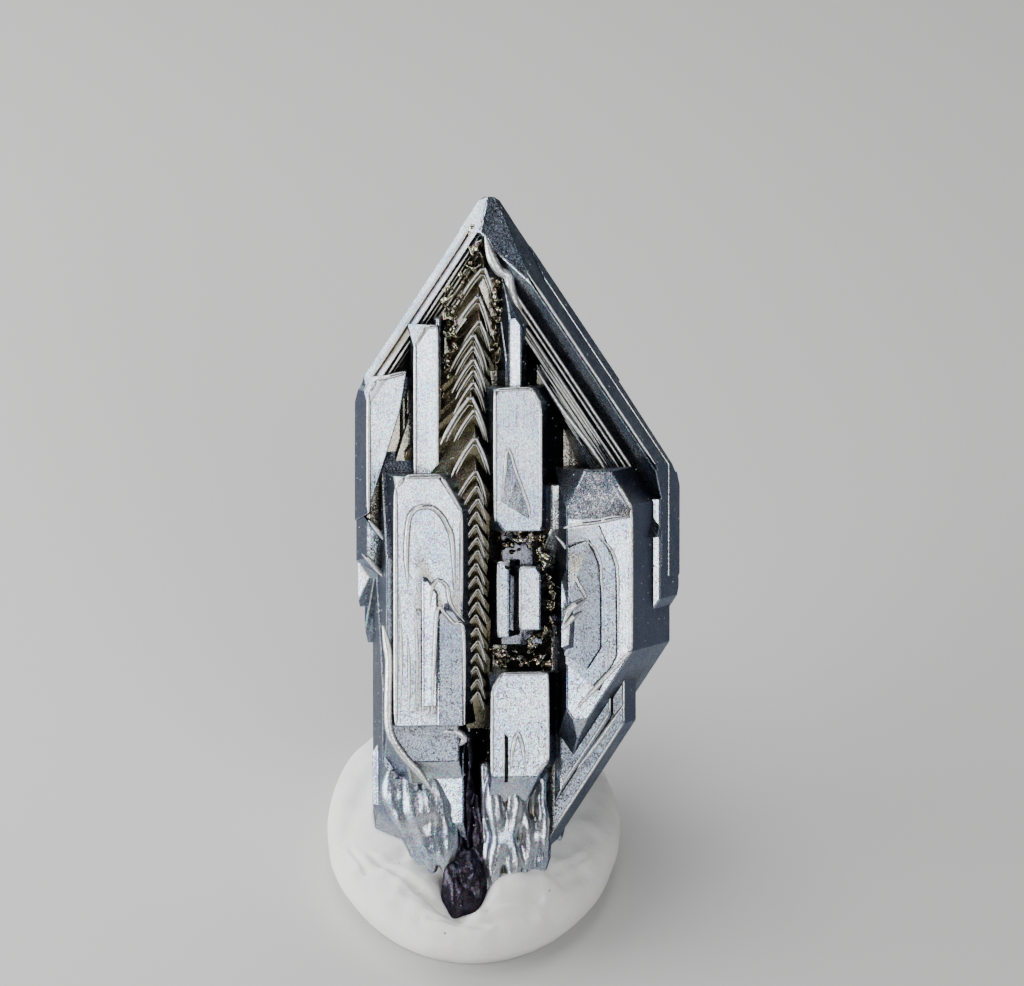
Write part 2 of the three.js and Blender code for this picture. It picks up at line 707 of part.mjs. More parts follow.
// From the crystal's own frame to the standing frame.
const STAND = new THREE.Matrix4()
  .makeTranslation(AXIS_FOOT)
  .multiply(new THREE.Matrix4().makeRotationX(-LEAN));

// Everything above a height, in a box that is wider than the specimen.
const CUTTER_SIZE = 60;

function aboveHeight(height) {
  const box = new THREE.BoxGeometry(CUTTER_SIZE, CUTTER_SIZE, CUTTER_SIZE);
  box.translate(0, 0, height + CUTTER_SIZE / 2);
  return solidFrom(box);
}

const crystalBlocks = [
  core(),
  ...rightFlank(),
  ...LEFT_RIDGES.map(leftRidge),
  leftShoulder(),
  rightSide(),
  ...leftPlates(),
  ...archedPlate(),
  ...lowerLeftPlates(),
  ...rightColumns(),
  ...broadPlate(),
  ...lowerRightBlock(),
  ...trenchSteps(),
  ...backPlates(),
];
const crystalPits = [
  rimJog(),
  archedHopper(),
  ...rightColumnPits(),
  ...broadPlateSteps(),
];

// Planes that two blocks share can leave a sliver with no thickness beside the real body.
function mainBody(solid) {
  const [largest] = solid.decompose().sort((first, second) => second.volume() - first.volume());
  return largest;
}

function crystalSolid() {
  const whole = joined(crystalBlocks)
    .intersect(blockSolid(outerForm()))
    .subtract(joined(crystalPits))
    .transform(STAND.elements)
    .intersect(aboveHeight(ROOT_CUT_HEIGHT))
    .simplify(MERGE_TOLERANCE);
  return mainBody(whole);
}

// The putty is a flattened lump: a stack of rings that bulge below and round over on top.
function puttyLump() {
  const points = [new THREE.Vector2(0, 0), new THREE.Vector2(PUTTY.footShare, 0)];
  for (let ring = 0; ring <= PUTTY.rings; ring += 1) {
    const turn = THREE.MathUtils.lerp(-PUTTY.footTurn, 90, ring / PUTTY.rings) * DEGREE;
    const radius = Math.pow(Math.cos(turn), PUTTY.roundness);
    const below = Math.sin(turn) / Math.sin(PUTTY.footTurn * DEGREE);
    const rise = turn < 0
      ? PUTTY.bulgeHeight * (1 + below * PUTTY.footRise)
      : PUTTY.bulgeHeight + (PUTTY.height - PUTTY.bulgeHeight) * Math.sin(turn);
    points.push(new THREE.Vector2(ring === PUTTY.rings ? 0 : radius, rise));
  }
  const lathe = new THREE.LatheGeometry(points, PUTTY.sides);
  lathe.rotateX(90 * DEGREE);
  lathe.scale(PUTTY.halfWidth, PUTTY.halfDepth, 1);
  return lathe;
}

function puttySolid() {
  const pocket = joined(crystalBlocks, POCKET_GAP)
    .intersect(blockSolid(outerForm(), POCKET_GAP))
    .transform(STAND.elements)
    .intersect(aboveHeight(ROOT_CUT_HEIGHT - POCKET_GAP));
  return mainBody(solidFrom(puttyLump()).subtract(pocket).simplify(MERGE_TOLERANCE));
}

// ---------------------------------------------------------------- the specimen

const telluriumMetal = new THREE.MeshStandardMaterial({
  color: 0xb9c0c8,
  roughness: 0.3,
  metalness: 1,
});
const mineralTack = new THREE.MeshStandardMaterial({
  color: 0xe9e6e0,
  roughness: 0.75,
  metalness: 0,
});

function subPart(name, solid, material) {
  const mesh = new THREE.Mesh(geometryFrom(solid), material);
  mesh.name = name;
  return mesh;
}

const group = new THREE.Group();
group.add(subPart('tellurium_crystal', crystalSolid(), telluriumMetal));
group.add(subPart('mounting_putty', puttySolid(), mineralTack));

export default group;
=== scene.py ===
# %% [markdown]
# # A tellurium crystal in a pinch of mineral tack
#
# The thing we are making is about two centimetres tall: a skeletal crystal of native
# tellurium, standing a little tilted in a lump of white putty. A skeletal crystal grows
# faster along its edges than on its faces, so it is full of plates, steps and hollows.
#
# Everything is first carved in millimetres, in the crystal's own upright frame, because a
# crystal is simple there. At the end it is leaned back and brought to metres in one step.

# %% Load the frame
import json
import math
import random

import bmesh
import bpy
from mathutils import Matrix, Vector, noise
from mathutils.bvhtree import BVHTree

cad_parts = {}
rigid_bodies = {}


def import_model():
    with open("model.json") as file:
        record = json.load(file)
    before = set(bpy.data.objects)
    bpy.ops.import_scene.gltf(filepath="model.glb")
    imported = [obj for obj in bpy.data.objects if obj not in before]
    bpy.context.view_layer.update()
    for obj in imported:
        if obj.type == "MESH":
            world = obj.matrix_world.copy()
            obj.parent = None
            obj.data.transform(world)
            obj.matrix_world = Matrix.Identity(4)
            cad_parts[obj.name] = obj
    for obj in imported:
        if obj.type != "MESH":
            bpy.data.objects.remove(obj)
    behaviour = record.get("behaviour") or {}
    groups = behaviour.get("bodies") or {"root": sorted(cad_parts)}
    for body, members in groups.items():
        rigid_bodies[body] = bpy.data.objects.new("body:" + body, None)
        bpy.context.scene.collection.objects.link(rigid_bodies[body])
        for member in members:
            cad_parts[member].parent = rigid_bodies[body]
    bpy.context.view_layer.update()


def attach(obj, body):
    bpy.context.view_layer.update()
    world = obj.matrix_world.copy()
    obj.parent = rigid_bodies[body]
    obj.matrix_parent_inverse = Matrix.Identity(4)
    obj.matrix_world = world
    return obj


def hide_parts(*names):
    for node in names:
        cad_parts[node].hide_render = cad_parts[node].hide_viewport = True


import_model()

# %% [markdown]
# ## The camera
#
# A small object is shot with a long lens from well away, so its parallel edges stay
# parallel. The camera looks down at 35 degrees, which shows the front plates, the open
# trench and the top of the putty together.

# %% Place the camera
MM = 0.001
VIEW_TILT = math.radians(35.0)
AIM = Vector((1.12, 0.0, 12.61)) * MM
VIEW_DISTANCE = 250.0 * MM
VIEW_WIDTH = 28.67 * MM

look_along = Vector((0.0, math.cos(VIEW_TILT), -math.sin(VIEW_TILT)))
camera_data = bpy.data.cameras.new("bench_camera")
camera = bpy.data.objects.new("bench_camera", camera_data)
bpy.context.scene.collection.objects.link(camera)
camera.location = AIM - look_along * VIEW_DISTANCE
camera.rotation_euler = look_along.to_track_quat("-Z", "Y").to_euler()
camera_data.sensor_width = 36.0
camera_data.lens = camera_data.sensor_width * VIEW_DISTANCE / VIEW_WIDTH
camera_data.clip_start = 0.01
camera_data.clip_end = 10.0
bpy.context.scene.camera = camera
print("lens", round(camera_data.lens, 1), "mm")

# %% [markdown]
# ## The lattice
#
# Tellurium is a six-sided prism under a six-sided pyramid. Every block in this crystal
# shares those twelve directions, which is why its edges run parallel all over. So we
# write the directions once. A face is then only a direction and a distance.
#
# `right`, `out` and `up` are measured from the foot of the long axis: to the right, out to
# the front and up the crystal.

# %% Directions of the faces
LEAN = math.radians(31.0)
AXIS_FOOT = Vector((0.53, -1.42, -0.69))
STAND = Matrix.Translation(AXIS_FOOT) @ Matrix.Rotation(-LEAN, 4, "X")
FACE_STEP = 60.0
FRONT, FRONT_RIGHT, BACK_RIGHT, BACK, BACK_LEFT, FRONT_LEFT = (12.0 + FACE_STEP * k for k in range(6))
PYRAMID_TILT = 30.4
SIDE_WALL_FLARE = math.tan(math.radians(30.0))


def facing(azimuth, tilt=0.0):
    """The outward direction of a face: 0 is the front, 90 the right, a tilt turns it up."""
    level = math.cos(math.radians(tilt))
    turn = math.radians(azimuth)
    return Vector((math.sin(turn) * level, -math.cos(turn) * level, math.sin(math.radians(tilt))))


def through(normal, point):
    """A boundary that faces along a normal and passes through a point."""
    return normal, normal.dot(point)


def place(right, out, up):
    return Vector((right, -out, up))


def on_face(azimuth, along, out, up):
    """A place on a face: along it to the right, out from the axis, and up."""
    flat = facing(azimuth) * out + facing(azimuth + 90.0) * along
    return Vector((flat.x, flat.y, up))


UP = Vector((0.0, 0.0, 1.0))
print("front face points to", [round(c, 3) for c in facing(FRONT)])

# %% Distances of the faces
REACH = {FRONT: 4.4, FRONT_RIGHT: 5.07, BACK_RIGHT: 4.1, BACK: 2.4, BACK_LEFT: 2.99, FRONT_LEFT: 4.34}
TIP = place(-0.05, 1.4, 20.6)
BLUNT_UP, BLUNT_HALF_WIDTH, BLUNT_TILT = 20.27, 0.11, 62.0


def prism(azimuth, depth=0.0):
    return facing(azimuth), REACH[azimuth] - depth


def pyramid(azimuth, depth=0.0):
    normal, offset = through(facing(azimuth, PYRAMID_TILT), TIP)
    return normal, offset - depth


def floor_at(up):
    return through(-UP, place(0.0, 0.0, up))


ALL_SIDES = tuple(REACH)
print("the pyramid faces meet", round((STAND @ TIP).z, 2), "mm above the table")

# %% [markdown]
# ## Finishes
#
# Fresh tellurium is a silver metal with a faint blue cast. Up close its faces are not
# mirrors: they are covered with growth grains about three hundredths of a millimetre
# wide, each tilted a hair differently, so the face glitters. We tilt the normal by a
# random vector for each cell of a Voronoi texture. Over that go fine lines that run up
# the crystal, and a slow ripple.
#
# Two darkenings are painted on. Sheltered metal is darkened olive brown, partly as the crystal's soil and
# partly as painted shade, and faces that point some ways are painted a dull dark blue, a painted shade for
# the dark surroundings they reflect. A picture painted on could do both, but numbers measured on the mesh
# fit any shape, so the finish reads two of them: one for the olive of the hollows and one for the blue. We
# measure both once the crystal stands.

# %% Add a node and fill its sockets
def fill(tree, node, inputs):
    """Fill sockets of a node: each with a link from another node or with a plain value."""
    for socket, value in inputs.items():
        if isinstance(value, bpy.types.NodeSocket):
            tree.links.new(value, node.inputs[socket])
        else:
            node.inputs[socket].default_value = value
    return node


def add(tree, kind, inputs=None, **settings):
    """Add a node, set its properties, then fill its sockets."""
    made = tree.nodes.new(kind)
    for key, value in settings.items():
        setattr(made, key, value)
    return fill(tree, made, inputs or {})


print("can fill and add nodes")

# %% Maps, blends and bumps
def grain_map(tree, size_mm, stretch_up=1.0, turned=False):
    """Object coordinates scaled so that one unit is size_mm; stretched up the crystal."""
    where = add(tree, "ShaderNodeTexCoord")
    turn = add(tree, "ShaderNodeMapping", {
        "Vector": where.outputs["Object"], "Rotation": (LEAN if turned else 0.0, 0.0, 0.0)})
    unit = 1.0 / (size_mm * MM)
    size = add(tree, "ShaderNodeMapping", {
        "Vector": turn.outputs["Vector"], "Scale": (unit, unit, unit / stretch_up)})
    return size.outputs["Vector"]


def cell_map(tree, size_mm):
    return add(tree, "ShaderNodeTexVoronoi", {"Vector": grain_map(tree, size_mm), "Scale": 1.0})


def noise_map(tree, size_mm, detail, **stretch):
    clouds = add(tree, "ShaderNodeTexNoise", {
        "Vector": grain_map(tree, size_mm, **stretch), "Scale": 1.0, "Detail": detail})
    return clouds.outputs["Fac"]


def blended(tree, factor, first, second, mode="MIX"):
    """Mix two colours; sockets 0, 6 and 7 are the factor and the colours."""
    mix = add(tree, "ShaderNodeMix", {0: factor, 6: first, 7: second}, data_type="RGBA", blend_type=mode)
    return mix.outputs[2]


def spread(tree, value, low, high, start=0.0, end=1.0):
    """Turn values between start and end into values between low and high."""
    span = add(tree, "ShaderNodeMapRange", {
        "Value": value, "From Min": start, "From Max": end, "To Min": low, "To Max": high})
    return span.outputs["Result"]


def bumped(tree, height, distance_mm, normal=None):
    bump = add(tree, "ShaderNodeBump", {"Height": height, "Strength": 1.0, "Distance": distance_mm * MM})
    if normal is not None:
        fill(tree, bump, {"Normal": normal})
    return bump.outputs["Normal"]


def new_finish(name):
    """A material, its tree and its main shader."""
    finish = bpy.data.materials.new(name)
    finish.use_nodes = True
    return finish, finish.node_tree, finish.node_tree.nodes["Principled BSDF"]


print("can map, blend and bump")

# %% The tellurium
# The olive brown darkens sheltered metal, partly as soil and partly as painted shade. The dark blue is
# painted shade for faces by where they point.
SILVER = (0.62, 0.665, 0.745, 1.0)
STEEL_BLUE = (0.41, 0.48, 0.61, 1.0)
OLIVE_BROWN = (0.20, 0.165, 0.095, 1.0)
PAINTED_SHADE_BLUE = (0.062, 0.072, 0.1, 1.0)
GRAIN_MM, CLOUD_MM, LINE_MM = 0.034, 0.9, 0.06
CLOUD_RELIEF_MM, LINE_RELIEF_MM = 0.05, 0.006
COLOURED_GLINTS = 0.42
DIMMEST_GRAIN, BRIGHTEST_GRAIN = 0.74, 1.2
SOIL_SHADE_STARTS, SOIL_SHADE_COVERS, MOST_SOIL_SHADE = 0.55, 1.05, 0.9


def grain_tilt(tree, grain, glitter):
    """The surface normal, tipped a little another way in each grain."""
    here = add(tree, "ShaderNodeNewGeometry")
    centred = add(tree, "ShaderNodeVectorMath", {0: grain, 1: (0.5, 0.5, 0.5)}, operation="SUBTRACT")
    tilt = add(tree, "ShaderNodeVectorMath", {0: centred.outputs[0], "Scale": glitter}, operation="SCALE")
    tipped = add(tree, "ShaderNodeVectorMath", {
        0: here.outputs["Normal"], 1: tilt.outputs[0]}, operation="ADD")
    return add(tree, "ShaderNodeVectorMath", {0: tipped.outputs[0]}, operation="NORMALIZE").outputs[0]


def tellurium_finish(name, tint=SILVER, shade=STEEL_BLUE, roughness=(0.18, 0.34), glitter=0.18, ripple=0.7,
                     soil_shade_colour=OLIVE_BROWN):
    """Grained metal, from a tint to a shade; olive in its hollows, partly soil and partly painted shade,
    and painted dark blue on marked faces as painted shade.
    """
    finish, tree, metal = new_finish(name)
    grain = cell_map(tree, GRAIN_MM)
    cloud = noise_map(tree, CLOUD_MM, 1.6)
    lines = noise_map(tree, LINE_MM, 2.0, stretch_up=60.0, turned=True)
    hollow, tarnish = (add(tree, "ShaderNodeAttribute", attribute_name=measured).outputs["Fac"]
                       for measured in ("hollow", "tarnish"))

    base = blended(tree, spread(tree, cloud, 0.0, 1.0, 0.35, 0.65), tint, shade)
    base = blended(tree, COLOURED_GLINTS, base, grain.outputs["Color"], "OVERLAY")
    luck = add(tree, "ShaderNodeSeparateColor", {0: grain.outputs["Color"]})
    bright = spread(tree, luck.outputs[1], DIMMEST_GRAIN, BRIGHTEST_GRAIN)
    level = add(tree, "ShaderNodeCombineColor", {channel: bright for channel in range(3)})
    base = blended(tree, 1.0, base, level.outputs[0], "MULTIPLY")
    # Painted shade: sheltered corners are darkened olive, partly soil and partly painted shade; marked
    # faces are painted a dark blue as painted shade.
    base = blended(tree, spread(tree, hollow, 0.0, MOST_SOIL_SHADE, SOIL_SHADE_STARTS, SOIL_SHADE_COVERS), base, soil_shade_colour)
    base = blended(tree, tarnish, base, PAINTED_SHADE_BLUE)

    tipped = grain_tilt(tree, grain.outputs["Color"], glitter)
    normal = bumped(tree, cloud, CLOUD_RELIEF_MM * ripple, tipped)
    fill(tree, metal, {
        "Metallic": 1.0, "Specular Tint": (0.42, 0.44, 0.50, 1.0), "Base Color": base,
        "Roughness": spread(tree, grain.outputs["Distance"], *roughness, 0.1, 0.75),
        "Normal": bumped(tree, lines, LINE_RELIEF_MM, normal)})
    return finish


crystal_metal = tellurium_finish("tellurium_metal")
fused_metal = tellurium_finish("tellurium_fused", (0.62, 0.65, 0.72, 1.0), roughness=(0.24, 0.38),
                               glitter=0.14, ripple=0.9)
print("made", crystal_metal.name, fused_metal.name)

# %% [markdown]
# ### More states of the same metal
#
# The edges are painted near white and rough, a painted highlight; the crumbs in the hollows are olive and
# shiny; the growth steps are painted darker, as painted shade; and the foot is a dark purple. They are all
# the same metal, so we use the same recipe with other numbers.

# %% Bright-painted edges, soiled hollows, shaded steps and the dark foot
# Near white and rough: a painted highlight for edges, lips and lines.
highlight_edge_metal = tellurium_finish("tellurium_edges", (0.97, 0.98, 0.99, 1.0), (0.92, 0.94, 0.98, 1.0),
                              roughness=(0.34, 0.48), glitter=0.32, soil_shade_colour=(0.62, 0.58, 0.47, 1.0))
olive_metal = tellurium_finish("tellurium_olive", (0.56, 0.52, 0.42, 1.0), (0.30, 0.265, 0.19, 1.0),
                               roughness=(0.1, 0.25), glitter=0.16, ripple=1.6)
# Darker: painted shade for the growth steps.
shaded_metal = tellurium_finish("tellurium_shaded", (0.42, 0.39, 0.31, 1.0), (0.24, 0.21, 0.15, 1.0),
                                soil_shade_colour=(0.27, 0.23, 0.14, 1.0))
foot_metal = tellurium_finish("tellurium_dark_foot", (0.055, 0.045, 0.065, 1.0), (0.03, 0.025, 0.035, 1.0),
                              roughness=(0.2, 0.42), glitter=0.2, ripple=2.5, soil_shade_colour=(0.03, 0.024, 0.04, 1.0))
print("made", highlight_edge_metal.name, olive_metal.name, shaded_metal.name, foot_metal.name)

# %% [markdown]
# ### White tack and pale dust
#
# Mineral tack is chalk in a waxy binder: matt, white, and a little light gets into it, so
# it has a touch of subsurface. A broad mottle greys it, and a few cells of a Voronoi
# texture hold a dark speck. The dust is the same chalk, greyer and without specks.

# %% The white tack and the dust
SPECK_BROWN = (0.12, 0.10, 0.09, 1.0)
MOTTLE_MM, FINE_MM, SPECK_CELL_MM = 1.3, 0.09, 0.42


def chalk_finish(name, colour, darker, speck_share):
    """Matt chalk; one cell in so many holds a speck."""
    finish, tree, chalk = new_finish(name)
    mottle, fine = noise_map(tree, MOTTLE_MM, 5.0), noise_map(tree, FINE_MM, 4.0)
    specks = cell_map(tree, SPECK_CELL_MM)
    base = blended(tree, spread(tree, mottle, 0.0, 1.0, 0.35, 0.7), colour, darker)
    luck = add(tree, "ShaderNodeSeparateColor", {0: specks.outputs["Color"]})
    chosen = add(tree, "ShaderNodeMath", {0: luck.outputs[0], 1: speck_share}, operation="LESS_THAN")
    core_of_cell = spread(tree, specks.outputs["Distance"], 1.0, 0.0, 0.05, 0.11)
    speck = add(tree, "ShaderNodeMath", {0: core_of_cell, 1: chosen.outputs[0]}, operation="MULTIPLY")
    fill(tree, chalk, {
        "Subsurface Weight": 0.12, "Subsurface Scale": 0.4 * MM, "Specular IOR Level": 0.35,
        "Base Color": blended(tree, speck.outputs[0], base, SPECK_BROWN),
        "Roughness": spread(tree, fine, 0.62, 0.86),
        "Normal": bumped(tree, fine, 0.012, bumped(tree, mottle, 0.09))})
    return finish


white_tack = chalk_finish("mineral_tack", (0.95, 0.94, 0.92, 1.0), (0.87, 0.86, 0.84, 1.0), 0.2)
pale_dust = chalk_finish("clinging_dust", (0.84, 0.85, 0.86, 1.0), (0.66, 0.66, 0.66, 1.0), 0.0)
print("made", white_tack.name, pale_dust.name)

# %% [markdown]
# ## Carving a block
#
# A plate or a column is the space inside a handful of boundaries. We start from a big
# cube and cut it with one plane after another, closing the cut each time, as a facet is
# ground on a stone. Then a very fine chamfer goes round every edge: a real edge is never
# perfectly sharp, and that sliver is what flashes in the light.

# %% Carve
CHAMFER = 0.04
ROUGH_BLOCK = 90.0
ON_THE_CUT, SAME_CORNER = 1e-5, 2e-3
growth = bpy.data.collections.new("growth")
pits = bpy.data.collections.new("pits")


def new_object(name, shape, collection=None):
    mesh = bpy.data.meshes.new(name)
    shape.to_mesh(mesh)
    shape.free()
    made = bpy.data.objects.new(name, mesh)
    (collection or bpy.context.scene.collection).objects.link(made)
    return made


def cut_shape(planes, chamfer):
    """Cut a rough block down to its boundaries, then break its edges."""
    shape = bmesh.new()
    bmesh.ops.create_cube(shape, size=ROUGH_BLOCK)
    for normal, offset in planes:
        parts = shape.verts[:] + shape.edges[:] + shape.faces[:]
        cut = bmesh.ops.bisect_plane(shape, geom=parts, dist=ON_THE_CUT, plane_co=normal * offset,
                                     plane_no=normal, clear_outer=True)
        rim = [part for part in cut["geom_cut"] if isinstance(part, bmesh.types.BMEdge)]
        if rim:
            bmesh.ops.contextual_create(shape, geom=rim)
    bmesh.ops.remove_doubles(shape, verts=shape.verts[:], dist=SAME_CORNER)
    bmesh.ops.recalc_face_normals(shape, faces=shape.faces[:])
    if chamfer:
        bmesh.ops.bevel(shape, geom=shape.edges[:], offset=chamfer, segments=2, profile=0.5,
                        affect="EDGES", clamp_overlap=True)
    return shape


def carve(name, planes, chamfer=CHAMFER, collection=growth):
    """Make one block in a collection; it stays sharp if its chamfer would tear it."""
    shape = cut_shape(planes, chamfer)
    if any(not edge.is_manifold for edge in shape.edges):
        shape.free()
        shape = cut_shape(planes, 0.0)
    if not shape.faces:
        shape.free()
        print("nothing left of", name)
        return None
    return new_object(name, shape, collection)


print("cut a test block with", len(cut_shape([prism(side) for side in ALL_SIDES], CHAMFER).faces), "faces")

# %% [markdown]
# ## The body of the crystal
#
# The core is the whole crystal drawn in behind the open trench. It carries everything
# else. The upper right edge of the real crystal is one broad sloping face with fine
# treads climbing inward from it, and the upper left edge is a narrow rim of a few parallel
# ridges. Each tread is the same pyramid face, set a little deeper each time.

# %% The core and its outer form
CORE_FRONT = 1.5
ROOT_BOTTOM = -1.5
FAR_LEFT = FRONT - 90.0
LOWER_CORNER = place(5.29, 0.0, 8.75)
LOWER_BACK = on_face(BACK, 0.0, 2.4, 6.2)
LOWER_END = [
    through(facing(FRONT_RIGHT, -PYRAMID_TILT), LOWER_CORNER),
    through(facing(BACK_RIGHT, -PYRAMID_TILT), LOWER_CORNER),
    through(facing(BACK, -PYRAMID_TILT), LOWER_BACK),
    floor_at(ROOT_BOTTOM),
]

core = carve("core", [
    (facing(FRONT), CORE_FRONT), (facing(BACK_LEFT), 2.1), prism(FRONT_RIGHT), prism(BACK_RIGHT),
    prism(BACK), prism(FRONT_LEFT), pyramid(FRONT, 1.55), pyramid(FRONT_LEFT, 1.45),
    pyramid(FRONT_RIGHT, 1.25), pyramid(BACK), pyramid(BACK_LEFT), pyramid(BACK_RIGHT), *LOWER_END,
])
blunt_left, blunt_right = (place(TIP.x + side * BLUNT_HALF_WIDTH, 1.4, BLUNT_UP) for side in (-1, 1))
outer_form = carve("outer_form", [
    through(UP, blunt_left), through(facing(FRONT - 90.0, BLUNT_TILT), blunt_left),
    through(facing(FRONT + 90.0, BLUNT_TILT), blunt_right),
    *(pyramid(side, -0.02) for side in ALL_SIDES), prism(FRONT, -0.2), prism(BACK, -0.4),
    prism(FRONT_RIGHT, -0.02), prism(BACK_RIGHT, -0.02), prism(BACK_LEFT, -0.26),
    (facing(FAR_LEFT), 4.27),
    through(facing(FRONT_LEFT, -PYRAMID_TILT), place(-3.28, 2.8, 3.7)), floor_at(ROOT_BOTTOM),
], collection=pits)
pits.objects.unlink(outer_form)
print("core faces:", len(core.data.polygons))

# %% The treads of the right flank
RIM_UP = 14.6
RIGHT_RIM_INNER = 3.39
TREAD_COUNT = 18
TREAD_INNERMOST = 1.55
TREAD_SHALLOWEST, TREAD_DEEPEST = 0.28, 1.29


def out_at(surface, right, up):
    normal, offset = surface
    return (normal.x * right + normal.z * up - offset) / normal.y


def tread(surface, riser_normal, inner_right):
    """A sloping surface, cut off on its inner side by a riser."""
    inner = place(inner_right, out_at(surface, inner_right, RIM_UP), RIM_UP)
    return [surface, through(riser_normal, inner)]


TRENCH_RIDGE = through(facing(FRONT - 90.0, -22.8), on_face(FRONT, -0.12, 2.3, 18.0))


def right_tread(depth, inner_right):
    return [
        TRENCH_RIDGE,
        *tread(pyramid(FRONT_RIGHT, depth), facing(FRONT_LEFT, -PYRAMID_TILT), inner_right),
        prism(FRONT), prism(FRONT_RIGHT), prism(BACK_RIGHT), prism(BACK), prism(BACK_LEFT),
        pyramid(FRONT), pyramid(FRONT_LEFT), pyramid(BACK_RIGHT), pyramid(BACK),
        through(facing(FRONT, -PYRAMID_TILT), on_face(FRONT, 0.0, REACH[FRONT], 11.6)), floor_at(10.6),
    ]


dice = random.Random(7)
carve("right_rim", right_tread(0.0, RIGHT_RIM_INNER)[1:])
carve("right_rim_lip", right_tread(0.05, RIGHT_RIM_INNER - 0.1))
WIDE_TREADS = (0.12, 0.26, 0.42, 0.5, 0.59)
FINE_FROM, FINE_SPAN = 0.59, 0.41
tread_edges = []
for step in range(1, TREAD_COUNT + 1):
    if step <= len(WIDE_TREADS):
        share = WIDE_TREADS[step - 1]
    else:
        fine_steps = TREAD_COUNT - len(WIDE_TREADS)
        share = FINE_FROM + FINE_SPAN * (step - len(WIDE_TREADS) + dice.uniform(-0.3, 0.3)) / fine_steps
    inner_right = RIGHT_RIM_INNER + share * (TREAD_INNERMOST - RIGHT_RIM_INNER)
    depth = TREAD_SHALLOWEST + share * (TREAD_DEEPEST - TREAD_SHALLOWEST)
    carve(f"right_tread_{step}", right_tread(depth, inner_right), 0.02)
    tread_edges.append((depth, inner_right))

# %% The left rim and shoulder
SHOULDER_HEEL = place(-3.8, 1.6, 9.9)
LEFT_RIDGES = (
    (0.0, -3.76), (0.04, -3.5), (0.12, -3.36), (0.26, -3.24), (0.4, -3.12), (0.55, -2.98), (0.7, -2.84))


def left_ridge(depth, inner_right):
    return [
        *tread(pyramid(FRONT_LEFT, depth), facing(FRONT_RIGHT, -PYRAMID_TILT), inner_right),
        prism(FRONT), prism(FRONT_LEFT), prism(BACK_LEFT, -0.25), prism(BACK), (facing(FAR_LEFT), 3.99),
        pyramid(FRONT), pyramid(FRONT_RIGHT), pyramid(BACK_LEFT), pyramid(BACK), pyramid(BACK_RIGHT),
        floor_at(12.2),
    ]


for number, (depth, inner_right) in enumerate(LEFT_RIDGES):
    carve(f"left_ridge_{number}", left_ridge(depth, inner_right), 0.022)
carve("left_shoulder", [
    (facing(FRONT), 1.9), (facing(FAR_LEFT), 3.99), prism(FRONT_LEFT), prism(BACK_LEFT, -0.25), prism(BACK),
    prism(BACK_RIGHT), pyramid(FRONT_LEFT, 0.85), pyramid(FRONT, 0.85), pyramid(BACK_LEFT), pyramid(BACK),
    pyramid(BACK_RIGHT), through(facing(FRONT_LEFT, -PYRAMID_TILT), SHOULDER_HEEL),
    through(facing(BACK_LEFT, -PYRAMID_TILT), SHOULDER_HEEL), floor_at(9.4),
])
carve("right_side", [
    (facing(FRONT), 2.6), prism(FRONT_RIGHT), prism(BACK_RIGHT), prism(BACK),
    prism(BACK_LEFT), pyramid(FRONT_RIGHT), pyramid(BACK_RIGHT), pyramid(BACK),
    through(UP, place(0.0, 0.0, 11.7)), through(facing(FRONT_LEFT), on_face(FRONT, 2.3, 3.95, 9.0)),
    through(facing(FRONT, -PYRAMID_TILT), on_face(FRONT, 0.0, REACH[FRONT], 6.6)), *LOWER_END,
])

# %% [markdown]
# ## Plates and columns
#
# On the front the crystal split into separate plates. Each is bounded by the front face,
# two side walls turned 60 degrees from it, and sloping shoulders above and heels below.
# One function makes them all from where they lie on the face. Where an outline is
# irregular, a second function takes its corners instead.

# %% A plate from its edges
def plate(out, left, right, top, bottom, azimuth=FRONT, thick=2.2, shoulder_left=None, shoulder_right=None,
          heel_left=None, heel_right=None, ledge=False, sole=False, corner_right=None,
          left_turn=FACE_STEP):
    """The boundaries of a plate; a ledge or a sole gives it a level top or bottom."""
    def edge(along, up):
        return on_face(azimuth, along, out, up)

    planes = [
        (facing(azimuth), out), (-facing(azimuth), thick - out),
        through(facing(azimuth - left_turn), edge(left, top)),
        through(facing(azimuth + FACE_STEP), edge(right, top)),
        through(UP if ledge else facing(azimuth, PYRAMID_TILT), edge(0.0, top)),
        through(-UP if sole else facing(azimuth, -PYRAMID_TILT), edge(0.0, bottom)),
    ]
    for turn, tilt, along, up in ((-1, 1, left, shoulder_left), (1, 1, right, shoulder_right),
                                  (-1, -1, left, heel_left), (1, -1, right, heel_right)):
        if up is not None:
            planes.append(through(facing(azimuth + turn * FACE_STEP, tilt * PYRAMID_TILT), edge(along, up)))
    if corner_right is not None:
        corner = on_face(azimuth, right + corner_right * SIDE_WALL_FLARE, out - corner_right, top)
        planes.append(through(facing(azimuth + 2 * FACE_STEP), corner))
        if heel_right is not None:
            corner.z = heel_right
            planes.append(through(facing(azimuth + 2 * FACE_STEP, -PYRAMID_TILT), corner))
    return planes


print("a plate has", len(plate(3.0, -1.0, 1.0, 5.0, 1.0)), "boundaries at least")

# %% A block from its outline
def outlined(out, deep, outline, flare=SIDE_WALL_FLARE, floor_lean=0.0):
    """A convex outline on the front, anticlockwise; its sides spread by flare with depth."""
    outward = facing(FRONT)
    planes = [(outward, out),
              through(-facing(FRONT, floor_lean), on_face(FRONT, 0.0, deep, outline[0][1]))]
    for (along, up), (next_along, next_up) in zip(outline, outline[1:] + outline[:1]):
        here = on_face(FRONT, along, out, up)
        side = (on_face(FRONT, next_along, out, next_up) - here).normalized()
        planes.append(through((side.cross(outward) + outward * flare).normalized(), here))
    return planes


print("outlined block ready")

